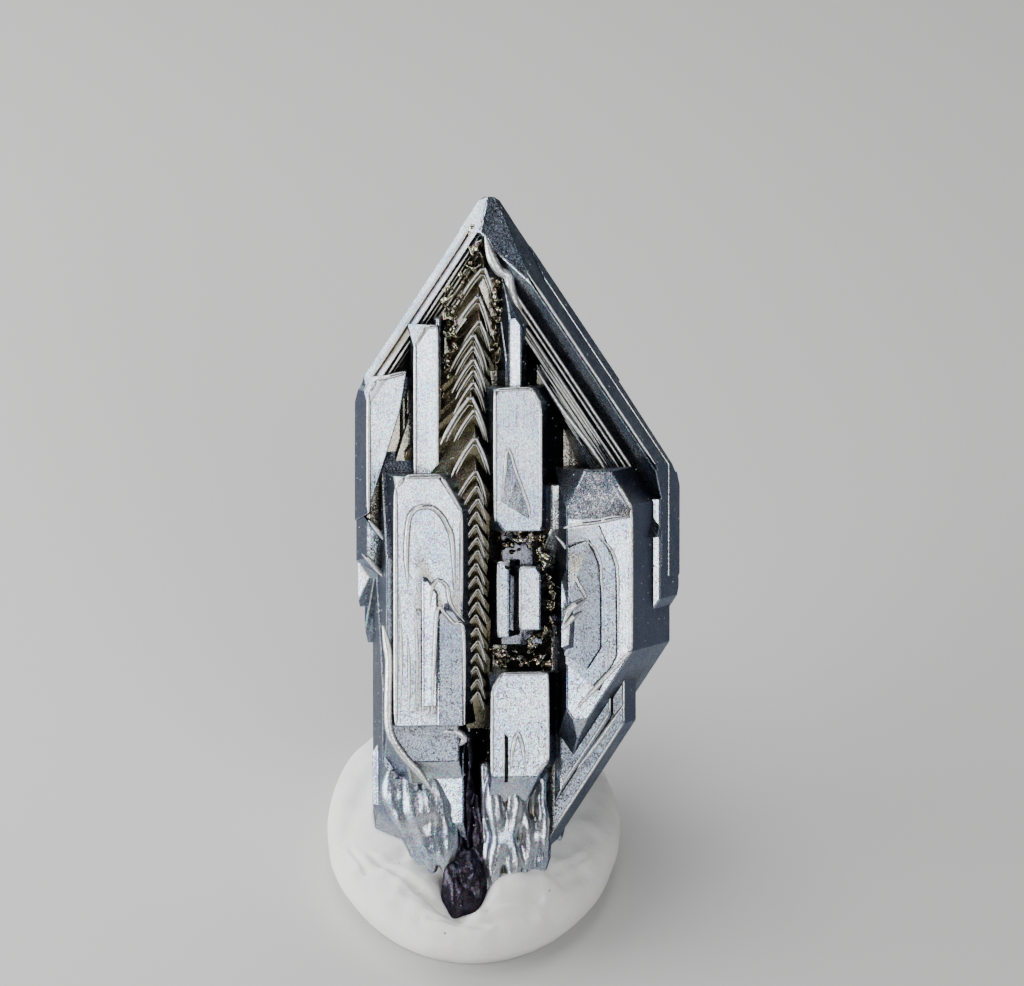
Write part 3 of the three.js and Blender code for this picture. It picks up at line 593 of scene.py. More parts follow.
# %% The left wing and slim columns
for name, planes in {
    "wing": outlined(2.3, 0.5, [(-4.05, 11.35), (-3.6, 12.74), (-3.13, 14.2), (-2.92, 15.4), (-3.8, 15.2),
                                (-4.04, 14.8)], flare=0.03),
    "wing_blade": outlined(2.05, 0.5, [(-3.4, 11.2), (-2.7, 11.4), (-2.65, 14.1), (-2.8, 14.2),
                                       (-3.25, 12.8)], flare=0.1),
    "wing_back": plate(1.8, -3.5, -2.3, 14.9, 11.2, left_turn=85.0),
    "wing_rib": plate(2.0, -3.0, -2.9, 14.6, 11.6, thick=1.8),
    "tall_column": plate(2.6, -2.76, -2.1, 16.7, 12.3, thick=0.9, shoulder_left=16.2, left_turn=88.0,
                         ledge=True),
    "column_backing": plate(2.0, -2.62, -1.95, 16.3, 12.3, thick=2.0, left_turn=88.0, ledge=True),
    "column_edge": plate(2.46, -2.1, -2.0, 16.9, 12.2, thick=2.4, left_turn=88.0, ledge=True),
    "trench_wall": plate(2.1, -2.0, -1.62, 16.7, 12.2, thick=2.1, left_turn=88.0, ledge=True),
    "trench_wall_step": plate(1.8, -1.66, -1.45, 17.2, 12.2, thick=1.7, left_turn=88.0, ledge=True),
    "wing_foot": outlined(2.2, 0.6, [(-4.05, 10.1), (-3.45, 9.6), (-3.5, 10.4), (-4.05, 11.15),
                                     (-4.2, 10.9)], flare=0.1) + [(facing(FAR_LEFT), 4.06)],
}.items():
    carve(name, planes)

# %% The arched plate and the ridge below it
for name, planes in {
    "arched_plate": plate(3.9, -3.58, -1.66, 12.52, 5.45, shoulder_left=12.2, shoulder_right=11.5,
                          ledge=True, sole=True, thick=3.4, left_turn=92.0),
    "arched_plate_pane": plate(4.02, -2.36, -1.66, 8.72, 5.45, shoulder_right=8.3, shoulder_left=8.6,
                               sole=True, thick=1.0),
    "arched_plate_strip": plate(3.98, -2.8, -2.4, 9.55, 6.0, shoulder_right=9.2, sole=True, thick=1.0),
    "left_ridge_behind": plate(3.6, -3.78, -1.7, 10.2, 4.4, heel_left=5.25, thick=4.5, left_turn=95.5)
    + [prism(BACK_LEFT)],
    "left_heel": plate(2.9, -3.75, -1.2, 6.4, 2.2, heel_left=2.6, thick=4.0, left_turn=95.5)
    + [prism(BACK_LEFT)],
    "swirl_block": plate(3.3, -2.6, -1.5, 4.6, 2.6, shoulder_left=4.5, thick=2.0),
}.items():
    carve(name, planes)
carve("arch_hopper", outlined(3.9, 3.88, [
    (-2.95, 8.6), (-2.1, 9.3), (-2.02, 10.8), (-2.22, 11.35), (-2.6, 11.68), (-2.9, 11.6), (-3.2, 11.2),
    (-3.25, 9.6)], flare=-0.5, floor_lean=-6.0), 0.0, pits)

# %% The right columns and their pits
for name, planes in {
    "upper_column": plate(3.15, -0.15, 0.2, 16.9, 14.5, shoulder_right=16.7, thick=2.4, left_turn=88.0),
    "upper_column_side": plate(2.9, -0.2, 0.35, 15.7, 14.2, thick=2.2, left_turn=88.0),
    "middle_column": plate(3.7, -0.67, 0.66, 14.95, 10.9, shoulder_left=14.75, shoulder_right=14.5,
                           heel_left=11.3, sole=True, thick=3.2, ledge=True, left_turn=88.0),
    "middle_backing": plate(2.8, -0.3, 1.0, 12.0, 7.6, thick=2.5, sole=True),
    "short_pillar": plate(3.7, -0.59, -0.28, 10.05, 7.9, thick=2.4, ledge=True, sole=True, left_turn=88.0),
    "block_pillar": plate(3.75, 0.04, 0.62, 9.9, 8.1, thick=2.4, ledge=True, sole=True, shoulder_right=9.7,
                          left_turn=80.0),
    "lower_plate": plate(3.9, -0.8, 0.83, 6.9, 3.95, shoulder_left=6.45, heel_right=4.4, thick=3.4,
                         ledge=True, left_turn=88.0),
}.items():
    carve(name, planes)
for name, (out, deep, flare, outline) in {
    "notch": (3.7, 3.55, -0.3, [(-0.5, 11.75), (0.3, 11.25), (0.33, 11.6), (-0.28, 13.25)]),
    "dark_hole": (3.9, 2.9, -0.1, [(-0.42, 9.85), (0.0, 9.7), (0.06, 10.35), (-0.3, 10.45)]),
    "pillar_gap": (3.9, 3.2, -0.05, [(-0.24, 8.1), (0.0, 8.0), (0.02, 9.6), (-0.2, 9.7)]),
    "finger_slot": (3.9, 3.5, -0.05, [(-0.44, 3.8), (-0.33, 3.8), (-0.33, 5.1), (-0.44, 5.2)]),
}.items():
    carve(name, outlined(out, deep, outline, flare=flare), 0.0, pits)

# %% The broad plate, the block below it and the back
broad = plate(4.4, 1.25, 3.13, 12.62, 5.6, shoulder_right=11.6, shoulder_left=11.5, heel_right=7.5,
              heel_left=5.9, ledge=True, thick=3.2, left_turn=88.0)
broad.append(through(facing(FRONT, 13.0), on_face(FRONT, 0.0, 4.4, 11.25)))
for name, planes in {
    "broad_plate": broad,
    "broad_plate_cap": plate(3.5, 1.0, 2.2, 12.2, 10.9, ledge=True, thick=2.6),
    "lower_right": plate(3.2, 1.1, 3.18, 8.2, 1.6, heel_right=5.35, thick=4.4, corner_right=1.0),
    "lower_right_face": plate(3.45, 1.3, 2.72, 7.6, 3.4, heel_right=5.6, thick=2.6, corner_right=0.8),
    "back_left_plate": plate(2.75, -3.2, -0.9, 12.6, 5.2, BACK, shoulder_left=11.2, heel_left=7.0),
    "back_right_plate": plate(2.65, -0.1, 1.5, 13.1, 6.4, BACK, shoulder_right=12.4, heel_right=7.2),
    "back_side_plate": plate(3.1, -0.6, 1.4, 12.6, 4.2, BACK_LEFT, shoulder_left=12.4, heel_right=6.0),
}.items():
    carve(name, planes)
for name, (deep, flare, outline) in {
    "broad_step_1": (4.28, -0.12, [
        (1.2, 7.2), (2.2, 6.4), (2.72, 7.4), (2.72, 9.9), (2.2, 11.1), (1.3, 11.0)]),
    "broad_step_2": (4.14, -0.12, [
        (1.2, 7.4), (1.9, 7.0), (2.3, 7.6), (2.3, 9.8), (1.95, 10.7), (1.3, 10.6)]),
    "broad_step_3": (3.8, -0.2, [
        (1.0, 7.4), (1.55, 7.6), (1.6, 8.5), (1.4, 9.3), (1.2, 10.3), (1.0, 10.4)]),
}.items():
    carve(name, outlined(4.4, deep, outline, flare=flare), 0.0, pits)
carve("rim_jog", outlined(5.0, -3.0, [(3.4, 15.0), (5.1, 12.36), (5.7, 12.36), (5.7, 15.0)], flare=0.0),
      0.0, pits)

# %% [markdown]
# ## One solid from many blocks
#
# The crystal grew as one piece, so its blocks become one closed mesh. Booleans do that:
# join every block to the core, trim the whole to its outer form, then take out the pits.
# The manifold solver is quick and exact for closed blocks like these.

# %% Fuse the blocks
def evaluated_mesh(thing):
    bpy.context.view_layer.update()
    graph = bpy.context.evaluated_depsgraph_get()
    return bpy.data.meshes.new_from_object(thing.evaluated_get(graph))


def combined(target, operation, collection=None, other=None):
    """Join, cut or trim the target with a collection of blocks or with one block."""
    step = target.modifiers.new(operation.lower(), "BOOLEAN")
    step.operation = operation
    step.solver = "MANIFOLD"
    if collection:
        step.operand_type = "COLLECTION"
        step.collection = collection
    else:
        step.object = other
    fresh = evaluated_mesh(target)
    target.modifiers.clear()
    target.data = fresh
    return len(fresh.polygons)


for holder in (growth, pits):
    bpy.context.scene.collection.children.link(holder)
bpy.context.scene.collection.objects.link(outer_form)
growth.objects.unlink(core)
bpy.context.scene.collection.objects.link(core)
print("joined:", combined(core, "UNION", growth))
print("trimmed:", combined(core, "INTERSECT", other=outer_form))
print("hollowed:", combined(core, "DIFFERENCE", pits))

# %% [markdown]
# ## Growth steps in the trench
#
# The open trench is floored with a stack of pointed arches, one growth step behind the
# next, like roof tiles seen from below. They all have one shape and follow one path, so
# Geometry Nodes place them: a path of points, one step put on each point, each turned and
# sized a little differently from a fixed seed. First come the helpers that every tree
# here uses. A tree ends with real, finished geometry, and its result is kept as a plain
# mesh, so nothing depends on the tree afterwards.

# %% Node tree helpers
def geometry_tree(name, inputs):
    """A tree with a geometry input and output, and the named inputs given."""
    tree = bpy.data.node_groups.new(name, "GeometryNodeTree")
    tree.interface.new_socket("Geometry", in_out="INPUT", socket_type="NodeSocketGeometry")
    for label, kind in inputs:
        tree.interface.new_socket(label, in_out="INPUT", socket_type=kind)
    tree.interface.new_socket("Geometry", in_out="OUTPUT", socket_type="NodeSocketGeometry")
    return tree, tree.nodes.new("NodeGroupInput"), tree.nodes.new("NodeGroupOutput")


def dressed(tree, result, geometry, finish):
    """End a tree: make the instances real, then give the finish."""
    real = add(tree, "GeometryNodeRealizeInstances", {0: geometry})
    named = add(tree, "GeometryNodeSetMaterial", {"Geometry": real.outputs[0], "Material": finish})
    fill(tree, result, {0: named.outputs[0]})
    return tree


def grown(thing, tree, **values):
    """Run a tree on an object with the given named inputs, and keep the plain mesh."""
    step = thing.modifiers.new("grow", "NODES")
    step.node_group = tree
    sockets = {item.name: item.identifier for item in tree.interface.items_tree if item.in_out == "INPUT"}
    for label, value in values.items():
        step[sockets[label.replace("_", " ")]] = value
    fresh = evaluated_mesh(thing)
    thing.modifiers.clear()
    thing.data = fresh
    return thing


print("can build a tree and grow a mesh with it")

# %% Paths of points, and meshes joined into one
def point_path(name, points, links=(), **numbers):
    """A bare mesh of points, with one number per point for each name given."""
    mesh = bpy.data.meshes.new(name)
    mesh.from_pydata([tuple(point) for point in points], list(links), [])
    for key, values in numbers.items():
        mesh.attributes.new(key, "FLOAT", "POINT").data.foreach_set("value", list(values))
    made = bpy.data.objects.new(name, mesh)
    bpy.context.scene.collection.objects.link(made)
    return made


def merged(name, things):
    """Join several objects into one mesh, keeping the materials of each face."""
    shape = bmesh.new()
    finishes = []
    for thing in things:
        before = len(shape.faces)
        offsets = []
        for finish in thing.data.materials:
            if finish not in finishes:
                finishes.append(finish)
            offsets.append(finishes.index(finish))
        shape.from_mesh(thing.data)
        shape.faces.ensure_lookup_table()
        for face in shape.faces[before:]:
            face.material_index = offsets[face.material_index] if face.material_index < len(offsets) else 0
        mesh = thing.data
        bpy.data.objects.remove(thing)
        if not mesh.users:
            bpy.data.meshes.remove(mesh)
    made = new_object(name, shape)
    for finish in finishes:
        made.data.materials.append(finish)
    return made


print("can lay a path and merge meshes")

# %% [markdown]
# ### A crest
#
# Lips, ribs, fine lines and melted lobes all begin as one thing: a round bar that follows
# a path and thins out at its ends. Modelling each by hand would take days. A tree of
# curve nodes makes them all from bare paths that carry their own width.

# %% The crest tree
def build_crest_tree():
    """Round a path into a crest: thick where the point says so, thin at its ends."""
    tree, given, result = geometry_tree("crest", [
        ("Thickness", "NodeSocketFloat"), ("Spacing", "NodeSocketFloat"),
        ("Sides", "NodeSocketInt"), ("Finish", "NodeSocketMaterial")])
    path = add(tree, "GeometryNodeMeshToCurve", {0: given.outputs["Geometry"]})
    smooth = add(tree, "GeometryNodeCurveSplineType", {
        "Curve": path.outputs[0]}, spline_type="CATMULL_ROM")
    even = add(tree, "GeometryNodeResampleCurve", {
        "Curve": smooth.outputs[0], "Length": given.outputs["Spacing"]}, mode="LENGTH")
    half_width = add(tree, "GeometryNodeInputNamedAttribute", {"Name": "half_width"}, data_type="FLOAT")
    thick = add(tree, "ShaderNodeMath", {
        0: half_width.outputs["Attribute"], 1: given.outputs["Thickness"]}, operation="MULTIPLY")
    spine = add(tree, "GeometryNodeSetCurveRadius", {"Curve": even.outputs[0], "Radius": thick.outputs[0]})
    ring = add(tree, "GeometryNodeCurvePrimitiveCircle", {
        "Radius": 1.0, "Resolution": given.outputs["Sides"]})
    radius = add(tree, "GeometryNodeInputRadius")
    tube = add(tree, "GeometryNodeCurveToMesh", {
        "Curve": spine.outputs[0], "Profile Curve": ring.outputs[0], "Scale": radius.outputs[0],
        "Fill Caps": True})
    soft = add(tree, "GeometryNodeSetShadeSmooth", {"Geometry": tube.outputs[0]})
    return dressed(tree, result, soft.outputs[0], given.outputs["Finish"])


END_SHARE = 0.25
crest_tree = build_crest_tree()


def crests(name, paths, thickness=1.0, spacing=0.08, sides=8, finish=crystal_metal):
    """Each path is (half width, [places]); its ends thin to a quarter."""
    points, links, widths = [], [], []
    for half_width, places in paths:
        first = len(points)
        for number, spot in enumerate(places):
            points.append(spot)
            widths.append(half_width * (END_SHARE if number in (0, len(places) - 1) else 1.0))
            if number:
                links.append((first + number - 1, first + number))
    made = point_path(name, points, links, half_width=widths)
    return grown(made, crest_tree, Thickness=thickness, Spacing=spacing, Sides=sides, Finish=finish)


print("crest tree nodes:", len(crest_tree.nodes))

# %% [markdown]
# ### One growth step
#
# The step is carved once: two roof faces that lean out, and a front that leans back under
# them. Its left leg is flatter than its right one. Two fine lips run along the arch; their
# legs bend a little steeper as they go down, or they would look ruled.

# %% Carve one growth step
LEFT_LEG, RIGHT_LEG = 38.0, 24.0
ROOF_TILT = 30.0
STEP_FRONT_LEAN = -24.0
LIP_SHARES, LIP_BEND = (0.12, 0.4, 0.75, 1.0), math.radians(9.0)


def roof(leg, side):
    """The direction of the roof face over one leg; the side is -1 or 1."""
    across = side * math.cos(math.radians(leg)) * facing(FRONT + 90.0) + math.sin(math.radians(leg)) * UP
    tilt = math.radians(ROOF_TILT)
    return (math.cos(tilt) * across + math.sin(tilt) * facing(FRONT)).normalized()


def arch_line(side, length):
    """From the point of the arch down one leg, a little steeper as it goes."""
    slope = math.radians(90.0 - (LEFT_LEG if side < 0 else RIGHT_LEG))
    line = []
    for share in LIP_SHARES:
        bend = slope + LIP_BEND * (share - 0.5)
        reach = length * share
        line.append(on_face(FRONT, side * math.cos(bend) * reach, 0.01, -math.sin(bend) * reach))
    return line


origin = Vector((0.0, 0.0, 0.0))
step_block = carve("growth_step", [
    (facing(FRONT, STEP_FRONT_LEAN), 0.0), through(-facing(FRONT), -1.2 * facing(FRONT)),
    through(roof(LEFT_LEG, -1), origin), through(roof(RIGHT_LEG, 1), origin),
    through(facing(FRONT - FACE_STEP), on_face(FRONT, -0.95, 0.0, 0.0)),
    through(facing(FRONT + 90.0), on_face(FRONT, 0.62, 0.0, 0.0)), floor_at(-1.9),
], 0.012, bpy.context.scene.collection)
lip = list(reversed(arch_line(-1, 1.15))) + [on_face(FRONT, 0.0, 0.015, 0.0)] + arch_line(1, 1.0)
lower_lip = [0.8 * spot + on_face(FRONT, 0.0, -0.05, -0.14) for spot in lip]
arch = crests("arch_lip", [(0.036, lip), (0.018, lower_lip)], spacing=0.12, sides=6)
print("one growth step has", len(step_block.data.polygons), "faces and its lips", len(arch.data.polygons))

# %% The growth step tree
def build_step_tree():
    """Put a step on every point, sized by the point and turned a little at random."""
    tree, given, result = geometry_tree("growth_steps", [
        ("Step", "NodeSocketObject"), ("Unevenness", "NodeSocketFloat"),
        ("Seed", "NodeSocketInt"), ("Finish", "NodeSocketMaterial")])
    shape = add(tree, "GeometryNodeObjectInfo", {"Object": given.outputs["Step"]})
    width = add(tree, "GeometryNodeInputNamedAttribute", {"Name": "width"}, data_type="FLOAT")
    most = add(tree, "ShaderNodeCombineXYZ", {axis: given.outputs["Unevenness"] for axis in range(3)})
    least = add(tree, "ShaderNodeVectorMath", {0: most.outputs[0], "Scale": -1.0}, operation="SCALE")
    turn = add(tree, "FunctionNodeRandomValue", {
        0: least.outputs[0], 1: most.outputs[0], "Seed": given.outputs["Seed"]}, data_type="FLOAT_VECTOR")
    put = add(tree, "GeometryNodeInstanceOnPoints", {
        "Points": given.outputs["Geometry"], "Instance": shape.outputs["Geometry"],
        "Rotation": turn.outputs[0], "Scale": width.outputs["Attribute"]})
    return dressed(tree, result, put.outputs[0], given.outputs["Finish"])


step_tree = build_step_tree()
print("growth step tree nodes:", len(step_tree.nodes))

# %% [markdown]
# ### The stack of steps
#
# High in the trench every step has a place and a width of its own. Below, they follow at
# an even pitch with a slight drift. Wide steps would poke out through the sides of the
# crystal, so the stack is trimmed to just inside its faces.

# %% Lay the growth steps
# Each step: how far along, how far out, how far up its point is, and its width.
UPPER_STEPS = (
    (-0.72, 1.75, 18.75, 0.8), (-0.66, 2.05, 18.31, 1.25), (-0.84, 2.2, 17.51, 1.2),
    (-0.83, 2.3, 16.81, 0.9), (-1.02, 2.4, 16.43, 1.1), (-1.04, 2.5, 16.1, 0.85),
    (-1.06, 2.6, 15.74, 1.0), (-1.07, 2.65, 15.43, 0.85), (-1.09, 2.75, 15.1, 0.95),
    (-1.2, 2.9, 14.7, 1.4), (-1.11, 3.0, 14.33, 0.95), (-1.14, 3.2, 13.55, 1.15),
    (-1.15, 3.35, 12.63, 0.95),
)
LOWER_FIRST, LOWER_PITCH, LOWER_COUNT = 12.2, 0.365, 17
LOWER_ALONG, LOWER_OUT, LOWER_WIDTH = -1.13, 3.4, 0.62
DRIFT, WIDTH_CHANGE = 0.03, 0.12

step_places = [on_face(FRONT, along, out, up) for along, out, up, _ in UPPER_STEPS]
step_widths = [width for *_, width in UPPER_STEPS]
for number in range(LOWER_COUNT):
    drift = DRIFT * math.sin(number * 1.7)
    step_places.append(on_face(FRONT, LOWER_ALONG + drift, LOWER_OUT, LOWER_FIRST - LOWER_PITCH * number))
    step_widths.append(LOWER_WIDTH * (1.0 + WIDTH_CHANGE * math.sin(number * 2.3)))

step_limit = carve("step_limit", [
    *(pyramid(side, 0.05) for side in ALL_SIDES), prism(FRONT), floor_at(4.0),
    *(prism(side, 0.2) for side in (BACK, FRONT_RIGHT, BACK_LEFT)),
], 0.0, bpy.context.scene.collection)
step_parts = []
# The step blocks get the darker finish, painted shade; their lips get the near-white finish, a painted
# highlight.
for part, finish in ((step_block, shaded_metal), (arch, highlight_edge_metal)):
    row = point_path("trench_" + part.name, step_places, width=step_widths)
    grown(row, step_tree, Step=part, Unevenness=math.radians(2.2), Seed=11, Finish=finish)
    combined(row, "INTERSECT", other=step_limit)
    step_parts.append(row)
    bpy.data.objects.remove(part)
bpy.data.objects.remove(step_limit)
step_faces = [len(part.data.polygons) for part in step_parts]
print("trench steps:", len(step_places), "with faces of blocks and lips:", step_faces)

# %% [markdown]
# ## Contour lines and bright edges
#
# Old outlines of a plate stay behind on its face as raised lines, the edges of the hollows are rounded
# ribs, and the outer edges of the plates are rounded too. All of them get the near-white finish, a painted
# highlight. Each is a path on the front, given by how far out it lies, its half width and its corners. The
# crest tree turns it into a tapering rib, half sunk in the metal. Curved lines bend through their corners;
# a plate's edge runs straight from corner to corner, so each of its stretches is a path of its own.

# %% Edges of the plates, painted bright
PLATE_EDGES = (
    (3.68, 0.035, [(-0.66, 11.2), (-0.66, 14.9), (0.4, 14.93), (0.65, 14.45), (0.65, 11.0)]),
    (3.88, 0.045, [(-3.56, 5.5), (-3.56, 12.2), (-3.3, 12.5), (-2.25, 12.5), (-1.68, 11.5), (-1.68, 8.9)]),
    (3.88, 0.035, [(-0.79, 4.0), (-0.79, 6.45), (-0.52, 6.88), (0.8, 6.88), (0.82, 4.4), (0.4, 3.98)]),
    (4.38, 0.045, [(2.75, 12.2), (3.12, 11.55), (3.12, 7.55), (1.5, 5.9)]),
    (3.68, 0.025, [(-0.58, 7.95), (-0.58, 10.03), (-0.3, 10.03)]),
    (3.73, 0.025, [(0.05, 8.15), (0.05, 9.88), (0.5, 9.88)]),
    (2.59, 0.035, [(-2.11, 12.4), (-2.11, 16.65), (-2.45, 16.65), (-2.74, 16.2), (-2.74, 12.4)]),
    (2.3, 0.04, [(-4.03, 11.4), (-4.03, 14.8), (-3.8, 15.15), (-2.95, 15.35)]),
    (3.43, 0.03, [(2.7, 7.2), (2.7, 5.7), (1.35, 3.7)]),
    (3.18, 0.035, [(3.16, 7.5), (3.16, 5.4), (1.2, 2.5)]),
)
STRAIGHT_SHARES = (0.0, 0.12, 0.88, 1.0)
edge_paths = []
for out, half_width, corners in PLATE_EDGES:
    spots = [on_face(FRONT, along, out, up) for along, up in corners]
    for one, other in zip(spots, spots[1:]):
        edge_paths.append((half_width, [one.lerp(other, share) for share in STRAIGHT_SHARES]))
print("worn edges:", len(edge_paths))

# %% Curved lines on the plates
FACE_LINES = {
    "flank_line": (3.05, 0.05, [(0.67, 15.41), (1.38, 14.31), (2.19, 13.26), (2.79, 12.35)]),
    "trench_right_ridge": (2.35, 0.1, [(-0.67, 19.17), (-0.5, 18.61), (-0.27, 18.21), (-0.01, 18.07),
                                       (0.07, 17.62), (0.24, 17.11), (0.33, 16.8)]),
    "arch_rim": (3.92, 0.055, [
        (-3.21, 9.38), (-3.27, 10.28), (-3.21, 11.23), (-3.07, 11.54), (-2.84, 11.65),
        (-2.55, 11.64), (-2.29, 11.44), (-2.12, 11.16), (-1.95, 10.68), (-1.89, 9.33)]),
    "small_arch": (3.92, 0.04, [(-2.58, 8.36), (-2.58, 9.15), (-2.41, 9.57), (-2.12, 9.42), (-1.98, 8.86),
                                (-1.61, 8.4)]),
    "lower_arch": (4.0, 0.04, [(-2.56, 5.81), (-2.48, 7.47), (-2.39, 8.76), (-2.16, 8.61), (-1.93, 8.36),
                               (-1.65, 8.1), (-1.62, 5.49)]),
    "arch_line_1": (3.91, 0.03, [(-3.46, 9.16), (-3.41, 7.47), (-3.44, 5.96)]),
    "arch_line_2": (3.91, 0.035, [(-3.24, 8.03), (-3.18, 6.91), (-3.21, 5.73)]),
    "arch_line_3": (3.91, 0.03, [(-3.04, 9.15), (-2.95, 7.47), (-3.01, 5.84)]),
    "arch_line_4": (3.91, 0.03, [(-2.81, 8.03), (-2.75, 6.62), (-2.83, 5.61)]),
    "broad_line_1": (4.38, 0.03, [(2.21, 10.74), (2.47, 10.48), (2.64, 10.14), (2.73, 9.58), (2.73, 7.56)]),
    "broad_line_2": (4.25, 0.03, [(1.71, 10.74), (2.05, 10.46), (2.25, 10.03), (2.28, 9.58), (2.31, 9.05)]),
    "broad_rib_1": (4.15, 0.07, [(1.87, 9.02), (1.59, 8.86), (1.39, 8.72), (1.21, 8.33)]),
    "broad_rib_2": (4.12, 0.06, [(1.74, 8.65), (1.43, 8.43), (1.14, 8.07)]),
    "broad_brow": (4.38, 0.05, [(3.04, 11.34), (2.53, 11.27), (2.1, 11.19), (1.61, 11.14), (1.15, 11.03)]),
    "broad_left_edge": (4.15, 0.04, [(0.97, 10.8), (1.25, 10.49), (1.43, 10.2), (1.57, 9.58), (1.8, 9.16),
                                     (1.88, 8.93)]),
    "left_ridge_line": (3.62, 0.08, [
        (-3.89, 8.3), (-3.77, 7.74), (-3.71, 7.23), (-3.74, 5.8), (-3.66, 5.21),
        (-3.37, 4.7), (-3.08, 4.36), (-2.83, 4.08), (-2.48, 3.59)]),
    "swirl": (3.45, 0.08, [(-2.46, 5.13), (-2.06, 5.27), (-1.69, 5.2), (-1.52, 5.01), (-1.75, 4.84)]),
    "heel_line": (3.45, 0.05, [(2.82, 6.45), (2.56, 6.04), (2.3, 5.7), (1.93, 5.48), (1.61, 5.18)]),
    "heel_edge": (3.2, 0.06, [(3.13, 5.84), (2.33, 4.76), (1.75, 4.04)]),
    "wing_lip": (2.6, 0.05, [(-4.1, 11.21), (-3.79, 10.84), (-3.47, 10.47)]),
    "wing_heel_lip": (2.3, 0.05, [(-4.24, 10.24), (-4.04, 10.07), (-3.78, 9.78), (-3.41, 9.39)]),
    "notch_rim": (3.7, 0.035, [(-0.47, 11.8), (-0.39, 12.52), (-0.3, 13.25), (-0.04, 12.52), (0.27, 11.67),
                               (0.33, 11.25)]),
    "slot_rim": (3.9, 0.03, [(-0.46, 5.16), (-0.47, 4.62), (-0.46, 4.0)]),
    "lens_rim": (3.9, 0.04, [(-0.26, 4.14), (-0.2, 4.76), (-0.06, 5.21), (0.09, 4.76), (0.14, 4.19)]),
}
PROUD = 0.6
line_paths = [(half_width, [on_face(FRONT, along, out + PROUD * half_width, up) for along, up in path])
              for out, half_width, path in FACE_LINES.values()] + edge_paths
# These lines get the near-white finish, a painted highlight.
lines = crests("contour_lines", line_paths, thickness=1.5, spacing=0.09, finish=highlight_edge_metal)
print("contour lines:", len(line_paths), "with", len(lines.data.polygons), "faces")

# %% [markdown]
# ## Lines along the treads, and striations
#
# The edges of the fine treads catch the light as long, broken bright lines. On the sides
# and the back, fine ribs run up the prism faces. Both are straight, so we lay them out by
# rule from a fixed seed. A path laid by rule can run past the end of its face, so each is
# tested against the fused blocks, and only the stretches that lie on metal are kept.

# %% Keep what lies on the metal
core_surface = BVHTree.FromPolygons(
    [v.co for v in core.data.vertices], [tuple(f.vertices) for f in core.data.polygons])
TEST_EVERY = 0.3
FEWEST_POINTS = 4


def clinging(paths, reach=0.07):
    """Keep only the stretches of straight paths that lie on the fused blocks."""
    kept = []
    for half_width, places in paths:
        start, end = places[0], places[-1]
        count = max(3, round((end - start).length / TEST_EVERY))
        run = []
        for number in range(count + 1):
            spot = start.lerp(end, number / count)
            distance = core_surface.find_nearest(spot)[3]
            if distance < reach:
                run.append(spot)
            if (distance >= reach or number == count) and run:
                if len(run) >= FEWEST_POINTS:
                    kept.append((half_width, run))
                run = []
    return kept


print("the tip lies", round(core_surface.find_nearest(TIP)[3], 2), "mm above the fused blocks")

# %% Bright lines along the treads
FLANK_SLOPE = -0.663
TREAD_FOOT, LEFT_FOOT, LEFT_TOP = 12.75, 14.75, 14.1
TREAD_END, TREAD_RUN = 0.45, 0.72
SHORTEST_LINE = 0.5
# The lines that stand out: half width, place at the middle height, lower end, upper end.
MAJOR_LINES = (
    (0.05, 3.39, 12.7, 19.3), (0.036, 3.14, 12.5, 18.9), (0.055, 2.63, 12.4, 18.3),
    (0.04, 2.48, 12.4, 17.2), (0.036, 2.3, 12.5, 17.0), (0.03, 2.02, 12.7, 16.4),
    (0.028, 1.83, 12.9, 16.1), (0.05, 1.57, 12.8, 15.4), (0.05, 2.93, 12.4, 18.4),
)


def tread_line(surface, inner_right, low, high, pieces, slope=FLANK_SLOPE, aside=0.0, proud=0.0):
    """Places up the inner edge of a tread, between two heights."""
    ups = [low + (high - low) * k / pieces for k in range(pieces + 1)]
    rights = [inner_right + slope * (up - RIM_UP) + aside for up in ups]
    return [place(right, out_at(surface, right, up) + proud, up) for right, up in zip(rights, ups)]


roll = random.Random(19)
flank_paths = []
for depth, inner_right in [(0.0, RIGHT_RIM_INNER), (0.03, RIGHT_RIM_INNER + 0.14)] + tread_edges:
    low = TREAD_FOOT + roll.uniform(0.0, 0.5)
    top = RIM_UP + (inner_right - TREAD_END) / TREAD_RUN
    cuts = sorted([low, top] + [roll.uniform(low, top) for _ in range(2)])
    for first, last in zip(cuts, cuts[1:]):
        if last - first > SHORTEST_LINE:
            half_width = roll.choice((0.012, 0.018, 0.03, 0.042))
            flank_paths.append((half_width, tread_line(
                pyramid(FRONT_RIGHT, depth), inner_right, first, last, 3, aside=0.01)))
for half_width, inner_right, low, top in MAJOR_LINES:
    depth = TREAD_SHALLOWEST + (RIGHT_RIM_INNER - inner_right) * (TREAD_DEEPEST - TREAD_SHALLOWEST) / (
        RIGHT_RIM_INNER - TREAD_INNERMOST)
    surface = pyramid(FRONT_RIGHT, depth if inner_right < RIGHT_RIM_INNER else 0.0)
    flank_paths.append((half_width, tread_line(surface, inner_right, low, top, 5, proud=0.5 * half_width)))
for depth, inner_right in LEFT_RIDGES:
    low, top = LEFT_FOOT + roll.uniform(0.0, 0.4), LEFT_TOP - inner_right / TREAD_RUN
    half_width = roll.choice((0.02, 0.03, 0.04))
    flank_paths.append((half_width, tread_line(
        pyramid(FRONT_LEFT, depth), inner_right, low, top, 5, slope=-FLANK_SLOPE, aside=-0.01)))
# The tread lines get the near-white finish, a painted highlight.
flank_lines = crests("flank_lines", clinging(flank_paths, 0.14), spacing=0.5, sides=6, finish=highlight_edge_metal)
print("flank lines:", len(flank_paths))

